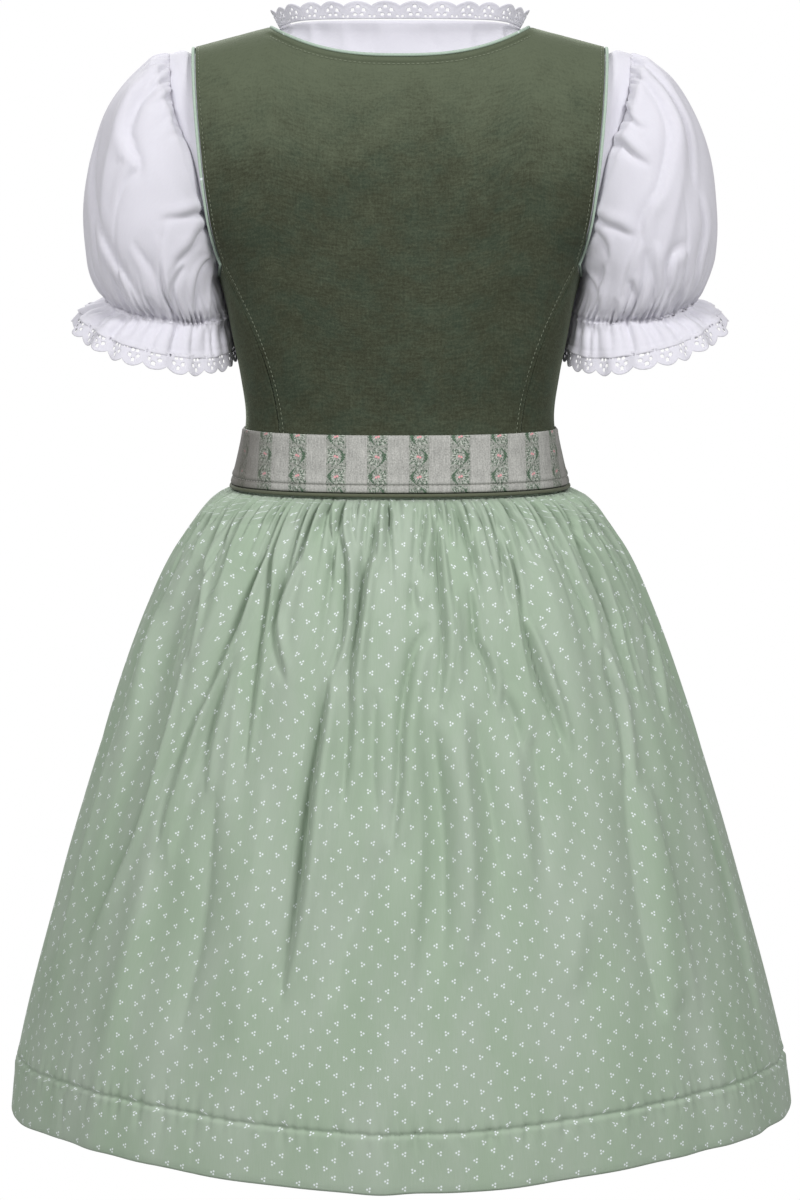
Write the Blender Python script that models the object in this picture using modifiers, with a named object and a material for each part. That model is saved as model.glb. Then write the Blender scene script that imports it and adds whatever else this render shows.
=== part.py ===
"""Girl's dirndl set: bodice with gathered skirt, puff-sleeved blouse and striped apron.

Metres, +Z up. The wearer faces -Y and the wearer's left is +X. The origin is on the centre line,
level with the neck ends of the shoulder seams. Every wall is a sheet laid over a general figure,
given by level sections, and thickened outwards. An angle runs round the figure from the centre
back (0) over the wearer's left side (90) to the centre front (180).
"""
import math
from collections import namedtuple

import bmesh
import bpy
import numpy as np
from mathutils import Vector

# The walls, from the skin outwards: where each starts and how thick it is.
SEAM_GAP = 0.0003
BLOUSE_LAYER, BLOUSE_WALL = -0.0029, 0.0010
BODICE_LAYER, BODICE_WALL = 0.0015, 0.0014
BAND_LAYER, BAND_WALL = 0.0036, 0.0015
SKIRT_WALL = 0.0010
APRON_CLEARANCE = 0.0050

# Heights of the edges.
BODICE_BOTTOM = -0.3075
BAND_TOP, BAND_BOTTOM = -0.2690, -0.3065
WAIST_SEAM = -0.3090
SKIRT_TOP, SKIRT_HEM = -0.3108, -0.7420
APRON_TOP, APRON_HEM = -0.3072, -0.7000
BLOUSE_HEM = -0.2500

# Shoulder and neck.
NECK_HALF_WIDTH = 0.0874
SHOULDER_AT_NECK = -0.0029
SHOULDER_SLOPE = 0.263
SHOULDER_ROUNDING = 0.045
BODICE_SHOULDER_TIP = 0.138
BODICE_BACK_NECK_DROP, BODICE_FRONT_NECK_DROP = 0.0205, 0.0750
NECK_CURVE = 2.6
BLOUSE_SHOULDER_TIP = 0.155
BLOUSE_NECK_HALF_WIDTH = 0.0905
BLOUSE_BACK_NECK_DROP, BLOUSE_FRONT_NECK_DROP = 0.0240, 0.0800
NECK_RING_HALF_WIDTH, NECK_RING_BACK, NECK_RING_FRONT = 0.0795, 0.0450, 0.0590
NECK_RING_Z, NECK_RING_FRONT_DROP = 0.0025, 0.0460
NECK_BEND_HALF_WIDTH, NECK_BEND_RISE = 0.0812, 0.0060
NECK_LACE_HEIGHT, NECK_LACE_LEAN, NECK_SCALLOPS = 0.0115, 0.0015, 27

# Armholes.
BODICE_ARMHOLE_JOIN, BODICE_UNDERARM = -0.158, -0.168
BLOUSE_UNDERARM = -0.157

# Points inside the hollows, which tell a sheet's outer side.
CHEST = Vector((0.0, 0.0, -0.17))
NECK = Vector((0.0, 0.0, -0.005))
WAIST = Vector((0.0, 0.0, -0.29))
ARM_CENTRE = Vector((0.150, 0.0, -0.090))
SLEEVE_MIDDLE = Vector((0.160, 0.0, -0.110))

PIPING_RADIUS = 0.0011
PIPING_LAYER, PIPING_SHIFT = 0.0029, 0.0023
WAIST_PIPING_RADIUS = 0.0012

# Gathers and waves.
SKIRT_GATHERS = 80
APRON_GATHERS = 20
CAP_GATHERS = 9
CUFF_GATHERS = 16
SLEEVE_SCALLOPS = 26
SKIRT_GATHER_HEIGHT = 0.0011
APRON_GATHER_HEIGHT = 0.0007
CAP_GATHER_HEIGHTS = (0.0016, 0.0022, 0.0012)
SCALLOP_SHARE = 0.24

APRON_HALF_ANGLE = 74.0
BUTTON_COUNT, BUTTON_RADIUS, BUTTON_THICKNESS = 5, 0.0055, 0.0022
BUTTON_TOP, BUTTON_BOTTOM, BUTTON_ASIDE = -0.098, -0.252, 0.0095
KNOT_SIZE = Vector((0.024, 0.016, 0.030))
BOW_Z = -0.288
LOOP_REACH, LOOP_WIDTH, LOOP_DROOP = 0.066, 0.034, 0.010
TAIL_LENGTH, TAIL_WIDTH = 0.150, 0.032

# Level sections of the figure: half width, depth behind and before the side line, and roundness
# (2 is an ellipse, more is squarer).
Section = namedtuple("Section", "z half_width back front roundness")
TORSO = [
    Section(0.030, 0.1720, 0.0360, 0.0360, 2.3),
    Section(0.000, 0.1720, 0.0440, 0.0420, 2.3),
    Section(-0.030, 0.1710, 0.0530, 0.0520, 2.3),
    Section(-0.060, 0.1700, 0.0620, 0.0620, 2.3),
    Section(-0.085, 0.1670, 0.0690, 0.0700, 2.3),
    Section(-0.110, 0.1560, 0.0740, 0.0750, 2.3),
    Section(-0.135, 0.1400, 0.0770, 0.0780, 2.3),
    Section(-0.155, 0.1245, 0.0785, 0.0795, 2.3),
    Section(-0.175, 0.1175, 0.0790, 0.0800, 2.3),
    Section(-0.205, 0.1110, 0.0785, 0.0795, 2.3),
    Section(-0.235, 0.1050, 0.0770, 0.0785, 2.3),
    Section(-0.265, 0.1018, 0.0765, 0.0785, 2.3),
    Section(-0.290, 0.1062, 0.0805, 0.0820, 2.3),
    Section(-0.315, 0.1130, 0.0860, 0.0865, 2.3),
]
SKIRT = [
    Section(-0.295, 0.1020, 0.0770, 0.0770, 2.25),
    Section(-0.307, 0.1128, 0.0875, 0.0880, 2.25),
    Section(-0.311, 0.1165, 0.0912, 0.0915, 2.25),
    Section(-0.319, 0.1262, 0.1000, 0.0995, 2.20),
    Section(-0.333, 0.1378, 0.1105, 0.1085, 2.15),
    Section(-0.346, 0.1470, 0.1190, 0.1160, 2.10),
    Section(-0.360, 0.1550, 0.1260, 0.1225, 2.08),
    Section(-0.388, 0.1682, 0.1380, 0.1330, 2.05),
    Section(-0.457, 0.1945, 0.1590, 0.1530, 2.00),
    Section(-0.527, 0.2172, 0.1765, 0.1700, 1.97),
    Section(-0.597, 0.2372, 0.1905, 0.1840, 1.94),
    Section(-0.668, 0.2562, 0.2030, 0.1960, 1.92),
    Section(-0.710, 0.2656, 0.2090, 0.2015, 1.90),
    Section(-0.750, 0.2706, 0.2130, 0.2050, 1.90),
]

# Edges of the bodice panels: distance from the centre line at each height. Above the armhole
# join the edge is the armhole, and below it the seam to the side panel.
EdgePoint = namedtuple("EdgePoint", "z back front")
BODICE_EDGE = [
    EdgePoint(-0.0133, 0.1380, 0.1380),
    EdgePoint(-0.0600, 0.1345, 0.1290),
    EdgePoint(-0.0850, 0.1322, 0.1240),
    EdgePoint(-0.1100, 0.1295, 0.1210),
    EdgePoint(-0.1360, 0.1255, 0.1195),
    EdgePoint(-0.1580, 0.1195, 0.1150),
    EdgePoint(-0.1730, 0.1118, 0.1050),
    EdgePoint(-0.1900, 0.1035, 0.0930),
    EdgePoint(-0.2100, 0.0948, 0.0780),
    EdgePoint(-0.2300, 0.0880, 0.0700),
    EdgePoint(-0.2500, 0.0830, 0.0645),
    EdgePoint(-0.2700, 0.0803, 0.0615),
    EdgePoint(-0.3100, 0.0800, 0.0630),
]
ArmholePoint = namedtuple("ArmholePoint", "z x")
BLOUSE_ARMHOLE = [
    ArmholePoint(-0.0150, 0.1555),
    ArmholePoint(-0.0350, 0.1535),
    ArmholePoint(-0.0550, 0.1510),
    ArmholePoint(-0.0700, 0.1450),
    ArmholePoint(-0.0850, 0.1385),
    ArmholePoint(-0.1100, 0.1335),
    ArmholePoint(-0.1360, 0.1295),
    ArmholePoint(-0.1500, 0.1245),
    ArmholePoint(-0.1570, 0.1210),
]

# Sleeve rings after the armhole: the outermost and innermost points, half the depth, how much
# lower the back is than the middle, and how far the cuff gathers push the cloth out.
Ring = namedtuple("Ring", "outer_x outer_z inner_x inner_z depth lean wave")
SLEEVE_RINGS = [
    Ring(0.1660, -0.0205, 0.1262, -0.1560, 0.0490, 0.0000, 0.0000),
    Ring(0.1840, -0.0370, 0.1290, -0.1575, 0.0545, 0.0005, 0.0000),
    Ring(0.1985, -0.0600, 0.1292, -0.1595, 0.0575, 0.0015, 0.0000),
    Ring(0.2085, -0.0910, 0.1288, -0.1625, 0.0585, 0.0030, 0.0000),
    Ring(0.2128, -0.1250, 0.1280, -0.1670, 0.0570, 0.0050, 0.0000),
    Ring(0.2105, -0.1550, 0.1265, -0.1735, 0.0520, 0.0070, 0.0010),
    Ring(0.2030, -0.1730, 0.1245, -0.1815, 0.0450, 0.0085, 0.0024),
    Ring(0.1970, -0.1815, 0.1225, -0.1900, 0.0375, 0.0090, 0.0008),
    Ring(0.1985, -0.1850, 0.1220, -0.1950, 0.0382, 0.0095, 0.0010),
    Ring(0.2065, -0.1875, 0.1200, -0.2035, 0.0440, 0.0115, 0.0028),
    Ring(0.2140, -0.1925, 0.1185, -0.2125, 0.0490, 0.0140, 0.0042),
]
LACE_RINGS = [
    Ring(0.2145, -0.1932, 0.1185, -0.2134, 0.0493, 0.0141, 0.0042),
    Ring(0.2205, -0.2010, 0.1170, -0.2230, 0.0540, 0.0165, 0.0050),
]

# Long folds of the skirt: where each starts and ends, how far it stands out and how wide it is.
Fold = namedtuple("Fold", "top_angle low_angle top_z low_z height width")
BACK_FOLDS = [
    Fold(6, 17, -0.315, -0.640, 0.0050, 4.5),
    Fold(19, 12, -0.318, -0.400, 0.0030, 3.0),
    Fold(25, 27, -0.316, -0.430, 0.0042, 3.5),
    Fold(36, 60, -0.320, -0.600, 0.0055, 4.5),
    Fold(57, 50, -0.320, -0.460, 0.0040, 4.0),
    Fold(70, 75, -0.330, -0.680, 0.0060, 4.5),
    Fold(-5, -4, -0.318, -0.380, 0.0030, 2.8),
    Fold(-10, -7, -0.320, -0.440, 0.0042, 3.5),
    Fold(-18, -17, -0.320, -0.430, 0.0035, 3.0),
    Fold(-28, -31, -0.313, -0.480, 0.0048, 4.0),
    Fold(-46, -44, -0.320, -0.670, 0.0050, 5.0),
    Fold(-59, -73, -0.313, -0.640, 0.0055, 4.5),
]
FRONT_FOLDS = [
    Fold(172, 166, -0.318, -0.560, 0.0045, 4.5),
    Fold(158, 152, -0.316, -0.450, 0.0040, 3.5),
    Fold(143, 130, -0.320, -0.640, 0.0055, 4.5),
    Fold(124, 120, -0.318, -0.470, 0.0040, 4.0),
    Fold(108, 103, -0.325, -0.660, 0.0055, 4.5),
    Fold(185, 190, -0.318, -0.470, 0.0040, 3.5),
    Fold(199, 204, -0.316, -0.620, 0.0050, 4.5),
    Fold(216, 226, -0.320, -0.520, 0.0045, 4.0),
    Fold(233, 240, -0.318, -0.650, 0.0055, 4.5),
    Fold(250, 255, -0.322, -0.560, 0.0050, 4.0),
]


class SmoothCurve:
    """A smooth curve of values against falling height."""

    def __init__(self, rows, column):
        self.drops = np.array([-row.z for row in rows])
        self.values = np.array([getattr(row, column) for row in rows])
        self.slopes = np.gradient(self.values, self.drops)

    def __call__(self, z):
        drop = min(max(-z, self.drops[0]), self.drops[-1])
        i = min(int(np.searchsorted(self.drops, drop, side="right")) - 1, len(self.drops) - 2)
        span = self.drops[i + 1] - self.drops[i]
        t = (drop - self.drops[i]) / span
        start = self.values[i] * (1 + 2 * t) * (1 - t) ** 2 + self.slopes[i] * span * t * (1 - t) ** 2
        end = self.values[i + 1] * t * t * (3 - 2 * t) + self.slopes[i + 1] * span * t * t * (t - 1)
        return float(start + end)


def columns_of(rows):
    return {name: SmoothCurve(rows, name) for name in rows[0]._fields if name != "z"}


torso_curves = columns_of(TORSO)
skirt_curves = columns_of(SKIRT)
bodice_edge = columns_of(BODICE_EDGE)
blouse_armhole = columns_of(BLOUSE_ARMHOLE)["x"]


def signed_power(value, power):
    return math.copysign(abs(value) ** power, value)


def ease(t):
    t = min(max(t, 0.0), 1.0)
    return t * t * (3 - 2 * t)


def bump(x):
    """1 at 0, falling smoothly to almost nothing at 2."""
    return math.exp(-x * x)


def section_xy(curves, angle, z, out):
    """Point of a level section at an angle in radians, grown by out."""
    power = 2.0 / curves["roundness"](z)
    side = "back" if math.cos(angle) >= 0 else "front"
    x = (curves["half_width"](z) + out) * signed_power(math.sin(angle), power)
    y = (curves[side](z) + out) * signed_power(math.cos(angle), power)
    return x, y


def shoulder_z(x, out):
    """Height of the shoulder line at a distance from the centre line."""
    return SHOULDER_AT_NECK - SHOULDER_SLOPE * (abs(x) - NECK_HALF_WIDTH) + out


def torso_point(angle, z, out):
    """Point on the figure, out metres from the skin. It rounds over at the shoulder line."""
    x, y = section_xy(torso_curves, angle, z, out)
    below = min(max((shoulder_z(x, out) - z) / SHOULDER_ROUNDING, 0.0), 1.0)
    return Vector((x, y * math.sqrt(1 - (1 - below) ** 2), z))


def torso_angle(x, z, out):
    """Angle from the centre line at which the figure has the given x."""
    share = min(abs(x) / (torso_curves["half_width"](z) + out), 1.0)
    return math.asin(share ** (torso_curves["roundness"](z) / 2))


def make_collection(name):
    collection = bpy.data.collections.new(name)
    bpy.context.scene.collection.children.link(collection)
    return collection


def make_material(name, colour, roughness, metallic=0.0):
    material = bpy.data.materials.new(name)
    material.use_nodes = True
    shader = material.node_tree.nodes["Principled BSDF"]
    shader.inputs["Base Color"].default_value = (*colour, 1.0)
    shader.inputs["Roughness"].default_value = roughness
    shader.inputs["Metallic"].default_value = metallic
    return material


def add_object(name, data, material):
    obj = bpy.data.objects.new(name, data)
    obj.data.materials.append(material)
    set_collection.objects.link(obj)
    return obj


def add_sheet(name, columns, rows, place, inside, wall, material, closed=False, keep=1.0):
    """A grid bent by place(u, v), thinned to a share of its faces, and thickened outwards.

    u and v run from 0 to 1. A closed sheet joins its first and last columns.
    """
    bm = bmesh.new()
    bmesh.ops.create_grid(bm, x_segments=columns, y_segments=rows, size=0.5)
    for vertex in bm.verts:
        u = round((vertex.co.x + 0.5) * columns) / columns
        v = round((0.5 - vertex.co.y) * rows) / rows
        vertex.co = place(u, v)
    if closed:
        bmesh.ops.remove_doubles(bm, verts=bm.verts, dist=0.00005)
    bm.normal_update()
    facing = sum(face.normal.dot(face.calc_center_median() - inside) for face in bm.faces)
    if facing < 0:
        bmesh.ops.reverse_faces(bm, faces=bm.faces)
    free = [vertex.index for vertex in bm.verts if not vertex.is_boundary]
    mesh = bpy.data.meshes.new(name)
    bm.to_mesh(mesh)
    bm.free()
    mesh.shade_smooth()
    obj = add_object(name, mesh, material)
    if keep < 1.0:
        group = obj.vertex_groups.new(name="free")
        group.add(free, 1.0, "REPLACE")
        thin = obj.modifiers.new("thin", "DECIMATE")
        thin.ratio = keep
        thin.vertex_group = group.name
        thin.vertex_group_factor = 20.0
    solid = obj.modifiers.new("wall", "SOLIDIFY")
    solid.thickness = wall
    solid.offset = 1.0
    return obj


def add_piping(name, points, radius, material):
    """A closed cord through the points."""
    curve = bpy.data.curves.new(name, "CURVE")
    curve.dimensions = "3D"
    curve.bevel_depth = radius
    curve.bevel_resolution = 1
    spline = curve.splines.new("POLY")
    spline.points.add(len(points) - 1)
    for spline_point, point in zip(spline.points, points):
        spline_point.co = (*point, 1.0)
    spline.use_cyclic_u = True
    return add_object(name, curve, material)


def edge_path(points, normals, towards, shift):
    """A closed path moved along the surface by shift, to the side that faces towards.

    A corner moves further, so that both its sides keep the full distance.
    """
    moved = []
    for i, point in enumerate(points):
        arriving = (point - points[i - 1]).normalized()
        leaving = (points[(i + 1) % len(points)] - point).normalized()
        away = (arriving + leaving).cross(normals[i]).normalized()
        if away.dot(towards - point) < 0:
            away = -away
        moved.append(point + away * shift / math.sqrt((1 + arriving.dot(leaving)) / 2))
    return moved


# Heights of the grid rows along a panel's outer edge: the seam, then the armhole up to the
# shoulder, closer together where the shoulder rounds over.
SEAM_ROWS = [BODICE_BOTTOM, -0.288, BAND_TOP, -0.250, -0.230, -0.210, -0.188, BODICE_ARMHOLE_JOIN]
ARMHOLE_ROWS = [-0.136, -0.110, -0.085]
SHOULDER_STEPS = [90.0, 62.0, 36.0, 14.0, 0.0]
NECK_COLUMNS, SHOULDER_COLUMNS, SIDE_COLUMNS = 6, 2, 4


def shoulder_rows(tip, out):
    top = shoulder_z(tip, out)
    return [top - SHOULDER_ROUNDING * (1 - math.cos(math.radians(step))) for step in SHOULDER_STEPS]


def neck_columns(half_width):
    """Distances of a panel's neck columns from the centre line, closer together where it climbs."""
    return [half_width * math.sin(math.pi / 2 * step / NECK_COLUMNS) for step in range(NECK_COLUMNS + 1)]


def neck_z(x, half_width, drop, out):
    """Height of a neckline at a distance from the centre line."""
    return shoulder_z(half_width, out) - drop * (1 - min(abs(x) / half_width, 1.0) ** NECK_CURVE)


def panel_place(side, rows, edge_x, neck_half_width, drop, out, whole):
    """Placing function of a panel from the centre line to its outer edge, on the back (side 1)
    or the front (side -1). A whole panel spans both halves, and a half lies at positive x."""
    top = rows[-1]
    tip_angle = torso_angle(edge_x(top), top, out)
    necks = [torso_angle(x, top, out) / tip_angle for x in neck_columns(neck_half_width)]
    shares = np.append(necks, np.linspace(necks[-1], 1.0, SHOULDER_COLUMNS + 1)[1:])

    def place(u, v):
        across = 2 * u - 1 if whole else u
        share = float(shares[round(abs(across) * (len(shares) - 1))])
        row = round((1 - v) * (len(rows) - 1))
        height = (rows[row] - rows[0]) / (top - rows[0])
        top_x = section_xy(torso_curves, share * tip_angle, top, out)[0]
        if top_x < neck_half_width - 1e-6:
            column_top = neck_z(top_x, neck_half_width, drop, out)
        else:
            column_top = shoulder_z(top_x, out)
        z = rows[0] + (column_top - rows[0]) * height
        edge_angle = torso_angle(edge_x(rows[row]), rows[row], out)
        angle = share * edge_angle
        if not whole:
            angle = max(angle, torso_angle(SEAM_GAP / 2, z, out))
        point = torso_point(angle if side > 0 else math.pi - angle, z, out)
        point.x = math.copysign(point.x, across)
        point.y += side * SEAM_GAP / 2
        return point

    return place


def bodice_rows():
    return SEAM_ROWS + ARMHOLE_ROWS + shoulder_rows(BODICE_SHOULDER_TIP, BODICE_LAYER)


def bodice_edge_x(side):
    curve = bodice_edge["back" if side > 0 else "front"]
    return lambda z: curve(z) - SEAM_GAP / 2


def mirrored(place):
    def place_mirrored(u, v):
        point = place(u, v)
        return Vector((-point.x, point.y, point.z))

    return place_mirrored


def make_bodice_back(material):
    place = panel_place(
        1, bodice_rows(), bodice_edge_x(1), NECK_HALF_WIDTH, BODICE_BACK_NECK_DROP, BODICE_LAYER, True
    )
    columns = 2 * (NECK_COLUMNS + SHOULDER_COLUMNS)
    add_sheet("bodice_back", columns, len(bodice_rows()) - 1, place, CHEST, BODICE_WALL, material)


def make_bodice_fronts(material):
    place = panel_place(
        -1, bodice_rows(), bodice_edge_x(-1), NECK_HALF_WIDTH, BODICE_FRONT_NECK_DROP, BODICE_LAYER, False
    )
    for name, shape in (("bodice_front_left", place), ("bodice_front_right", mirrored(place))):
        columns = NECK_COLUMNS + SHOULDER_COLUMNS
        add_sheet(name, columns, len(bodice_rows()) - 1, shape, CHEST, BODICE_WALL, material)


def underarm_z(u):
    """Height of the armhole on a side panel, from its seam (0) to the side (1)."""
    return BODICE_ARMHOLE_JOIN + (BODICE_UNDERARM - BODICE_ARMHOLE_JOIN) * math.sin(u * math.pi / 2)


def side_panel_place(side):
    def place(u, v):
        row = round((1 - v) * (len(SEAM_ROWS) - 1))
        height = (SEAM_ROWS[row] - BODICE_BOTTOM) / (BODICE_ARMHOLE_JOIN - BODICE_BOTTOM)
        z = BODICE_BOTTOM + (underarm_z(u) - BODICE_BOTTOM) * height
        edge = bodice_edge["back" if side > 0 else "front"](SEAM_ROWS[row]) + SEAM_GAP / 2
        edge_angle = torso_angle(edge, SEAM_ROWS[row], BODICE_LAYER)
        angle = edge_angle + (math.pi / 2 - edge_angle) * u
        point = torso_point(angle if side > 0 else math.pi - angle, z, BODICE_LAYER)
        point.y += side * SEAM_GAP / 2
        return point

    return place


def make_bodice_sides(material):
    for where, side in (("back", 1), ("front", -1)):
        place = side_panel_place(side)
        for hand, shape in (("left", place), ("right", mirrored(place))):
            name = f"bodice_side_{where}_{hand}"
            add_sheet(name, SIDE_COLUMNS, len(SEAM_ROWS) - 1, shape, CHEST, BODICE_WALL, material)


def neck_piping_path():
    """Just inside the neckline, with a point at each column of the panels."""
    points, normals = [], []
    for side, drop in ((1, BODICE_BACK_NECK_DROP), (-1, BODICE_FRONT_NECK_DROP)):
        half = neck_columns(NECK_HALF_WIDTH)
        across = [-x for x in half[:0:-1]] + half
        for x in across if side > 0 else across[-2:0:-1]:
            points.append(neckline_point(x, side, drop, PIPING_LAYER))
            normals.append(neckline_point(x, side, drop, PIPING_LAYER + 0.001) - points[-1])
    return edge_path(points, normals, Vector((0.0, 0.0, 0.02)), PIPING_SHIFT)


def neckline_point(x, side, drop, out):
    z = neck_z(x, NECK_HALF_WIDTH, drop, out)
    angle = torso_angle(x, z, out)
    point = torso_point(angle if side > 0 else math.pi - angle, z, out)
    point.x = math.copysign(point.x, x)
    return point


def armhole_points(side, out):
    """The bodice's armhole from the shoulder to the side seam, a point at each row and column."""
    edge = bodice_edge["back" if side > 0 else "front"]
    path = []
    for z in reversed(ARMHOLE_ROWS + shoulder_rows(BODICE_SHOULDER_TIP, out)):
        path.append((torso_angle(edge(z), z, out), z))
    edge_angle = torso_angle(edge(BODICE_ARMHOLE_JOIN), BODICE_ARMHOLE_JOIN, out)
    for column in range(SIDE_COLUMNS + 1):
        u = column / SIDE_COLUMNS
        path.append((edge_angle + (math.pi / 2 - edge_angle) * u, underarm_z(u)))
    return [torso_point(angle if side > 0 else math.pi - angle, z, out) for angle, z in path]


def armhole_piping_path():
    def ring(out):
        return armhole_points(1, out) + armhole_points(-1, out)[-2:0:-1]

    points = ring(PIPING_LAYER)
    normals = [further - point for point, further in zip(points, ring(PIPING_LAYER + 0.001))]
    return edge_path(points, normals, ARM_CENTRE, PIPING_SHIFT)


def make_pipings(material, waist_material):
    add_piping("neck_piping", neck_piping_path(), PIPING_RADIUS, material)
    path = armhole_piping_path()
    add_piping("armhole_piping_left", path, PIPING_RADIUS, material)
    flipped = [Vector((-point.x, point.y, point.z)) for point in path]
    add_piping("armhole_piping_right", flipped, PIPING_RADIUS, material)
    out = BODICE_LAYER + WAIST_PIPING_RADIUS + SEAM_GAP
    around = [torso_point(math.tau * step / 40, WAIST_SEAM, out) for step in range(40)]
    add_piping("waist_piping", around, WAIST_PIPING_RADIUS, waist_material)


def make_buttons(material):
    """A row down the wearer's right front, beside the opening."""
    out = BODICE_LAYER + BODICE_WALL + 2 * SEAM_GAP
    for number in range(BUTTON_COUNT):
        z = BUTTON_TOP + (BUTTON_BOTTOM - BUTTON_TOP) * number / (BUTTON_COUNT - 1)
        angle = math.pi + torso_angle(BUTTON_ASIDE, z, out)
        seat = torso_point(angle, z, out)
        along = torso_point(angle, z - 0.002, out) - torso_point(angle, z + 0.002, out)
        across = torso_point(angle - 0.02, z, out) - torso_point(angle + 0.02, z, out)
        facing = across.cross(along).normalized()
        if facing.y > 0:
            facing = -facing
        bm = bmesh.new()
        bmesh.ops.create_cone(
            bm, cap_ends=True, segments=14, radius1=BUTTON_RADIUS, radius2=BUTTON_RADIUS * 0.86,
            depth=BUTTON_THICKNESS,
        )
        mesh = bpy.data.meshes.new(f"button_{number + 1}")
        bm.to_mesh(mesh)
        bm.free()
        mesh.shade_smooth()
        mesh.set_sharp_from_angle(angle=math.radians(35))
        button = add_object(f"button_{number + 1}", mesh, material)
        button.location = seat + facing * (BUTTON_THICKNESS / 2 + SEAM_GAP)
        button.rotation_euler = facing.to_track_quat("Z", "Y").to_euler()


BLOUSE_LOW_ROWS = [BLOUSE_HEM, -0.220, -0.188, BLOUSE_UNDERARM]
BLOUSE_ARMHOLE_ROWS = [-0.150, -0.136, -0.110, -0.085]


def blouse_rows():
    return BLOUSE_LOW_ROWS + BLOUSE_ARMHOLE_ROWS + shoulder_rows(BLOUSE_SHOULDER_TIP, BLOUSE_LAYER)


def blouse_edge_x(z):
    """The armhole, and below it the side seam."""
    if z <= BLOUSE_UNDERARM:
        return 1.0
    return blouse_armhole(z) - 5 * SEAM_GAP


def make_blouse_body(material):
    for name, side, drop in (
        ("blouse_back", 1, BLOUSE_BACK_NECK_DROP),
        ("blouse_front", -1, BLOUSE_FRONT_NECK_DROP),
    ):
        place = panel_place(
            side, blouse_rows(), blouse_edge_x, BLOUSE_NECK_HALF_WIDTH + 4 * SEAM_GAP, drop + 5 * SEAM_GAP,
            BLOUSE_LAYER, True,
        )
        columns = 2 * (NECK_COLUMNS + SHOULDER_COLUMNS)
        add_sheet(name, columns, len(blouse_rows()) - 1, place, CHEST, BLOUSE_WALL, material, keep=0.7)


def neck_ring_point(turn):
    """The blouse's neck opening. It dips at the front."""
    depth = NECK_RING_BACK if math.cos(turn) >= 0 else NECK_RING_FRONT
    dip = NECK_RING_FRONT_DROP * math.cos(turn) ** 2 if math.cos(turn) < 0 else 0.0
    x = NECK_RING_HALF_WIDTH * math.sin(turn)
    return Vector((x, depth * math.cos(turn), NECK_RING_Z - dip))


def neckband_point(turn, half_width, rise):
    """The neckband lies on the figure, under the bodice's neckline, before it turns up."""
    x = half_width * math.sin(turn)
    drop = BLOUSE_BACK_NECK_DROP if math.cos(turn) >= 0 else BLOUSE_FRONT_NECK_DROP
    z = neck_z(x, half_width, drop - rise, BLOUSE_LAYER)
    angle = torso_angle(x, z, BLOUSE_LAYER)
    point = torso_point(angle if math.cos(turn) >= 0 else math.pi - angle, z, BLOUSE_LAYER)
    point.x = x
    return point


def make_neckband(material):
    def place(u, v):
        turn = math.tau * u
        if v > 0.75:
            return neckband_point(turn, BLOUSE_NECK_HALF_WIDTH, 0.0)
        if v > 0.25:
            return neckband_point(turn, NECK_BEND_HALF_WIDTH, 2 * NECK_BEND_RISE)
        return neck_ring_point(turn)

    add_sheet("blouse_neckband", 48, 2, place, NECK, BLOUSE_WALL, material, closed=True)


def make_neck_lace(material):
    columns = NECK_SCALLOPS * 2

    def place(u, v):
        turn = math.tau * u
        scallop = 1 - SCALLOP_SHARE + SCALLOP_SHARE * abs(math.sin(NECK_SCALLOPS * turn / 2))
        rise = 4 * SEAM_GAP + NECK_LACE_HEIGHT * scallop * (1 - v)
        foot = neck_ring_point(turn)
        lean = Vector((foot.x, foot.y, 0.0)).normalized() * NECK_LACE_LEAN * (1 - v)
        return foot + lean + Vector((0.0, 0.0, rise))

    add_sheet("neck_lace", columns, 1, place, NECK, BLOUSE_WALL, material, closed=True)


def armhole_ring_point(turn):
    """The blouse's armhole at a turn from the shoulder (0) over the back to the underarm (180)."""
    top, low = shoulder_z(BLOUSE_SHOULDER_TIP, BLOUSE_LAYER), BLOUSE_UNDERARM + 5 * SEAM_GAP
    z = (top + low) / 2 + (top - low) / 2 * math.cos(turn)
    angle = torso_angle(blouse_armhole(z), z, BLOUSE_LAYER)
    side = 1 if math.sin(turn) >= 0 else -1
    if math.cos(turn) < -0.9999:
        angle = math.pi / 2
    return torso_point(angle if side > 0 else math.pi - angle, z, BLOUSE_LAYER)


def ring_point(ring, turn, wave_count):
    """Point of a sleeve ring, from the outer side (0) over the back to the inner side (180)."""
    middle = Vector(((ring.outer_x + ring.inner_x) / 2, 0.0, (ring.outer_z + ring.inner_z) / 2))
    arm = Vector(((ring.outer_x - ring.inner_x) / 2, 0.0, (ring.outer_z - ring.inner_z) / 2))
    wave = ring.wave * (0.5 + 0.5 * math.cos(wave_count * turn)) * (0.62 + 0.38 * math.cos(turn))
    across = arm * (1 + wave / arm.length) * math.cos(turn)
    back = (ring.depth + wave) * math.sin(turn)
    return middle + across + Vector((0.0, back, -ring.lean * math.sin(turn)))


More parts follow.
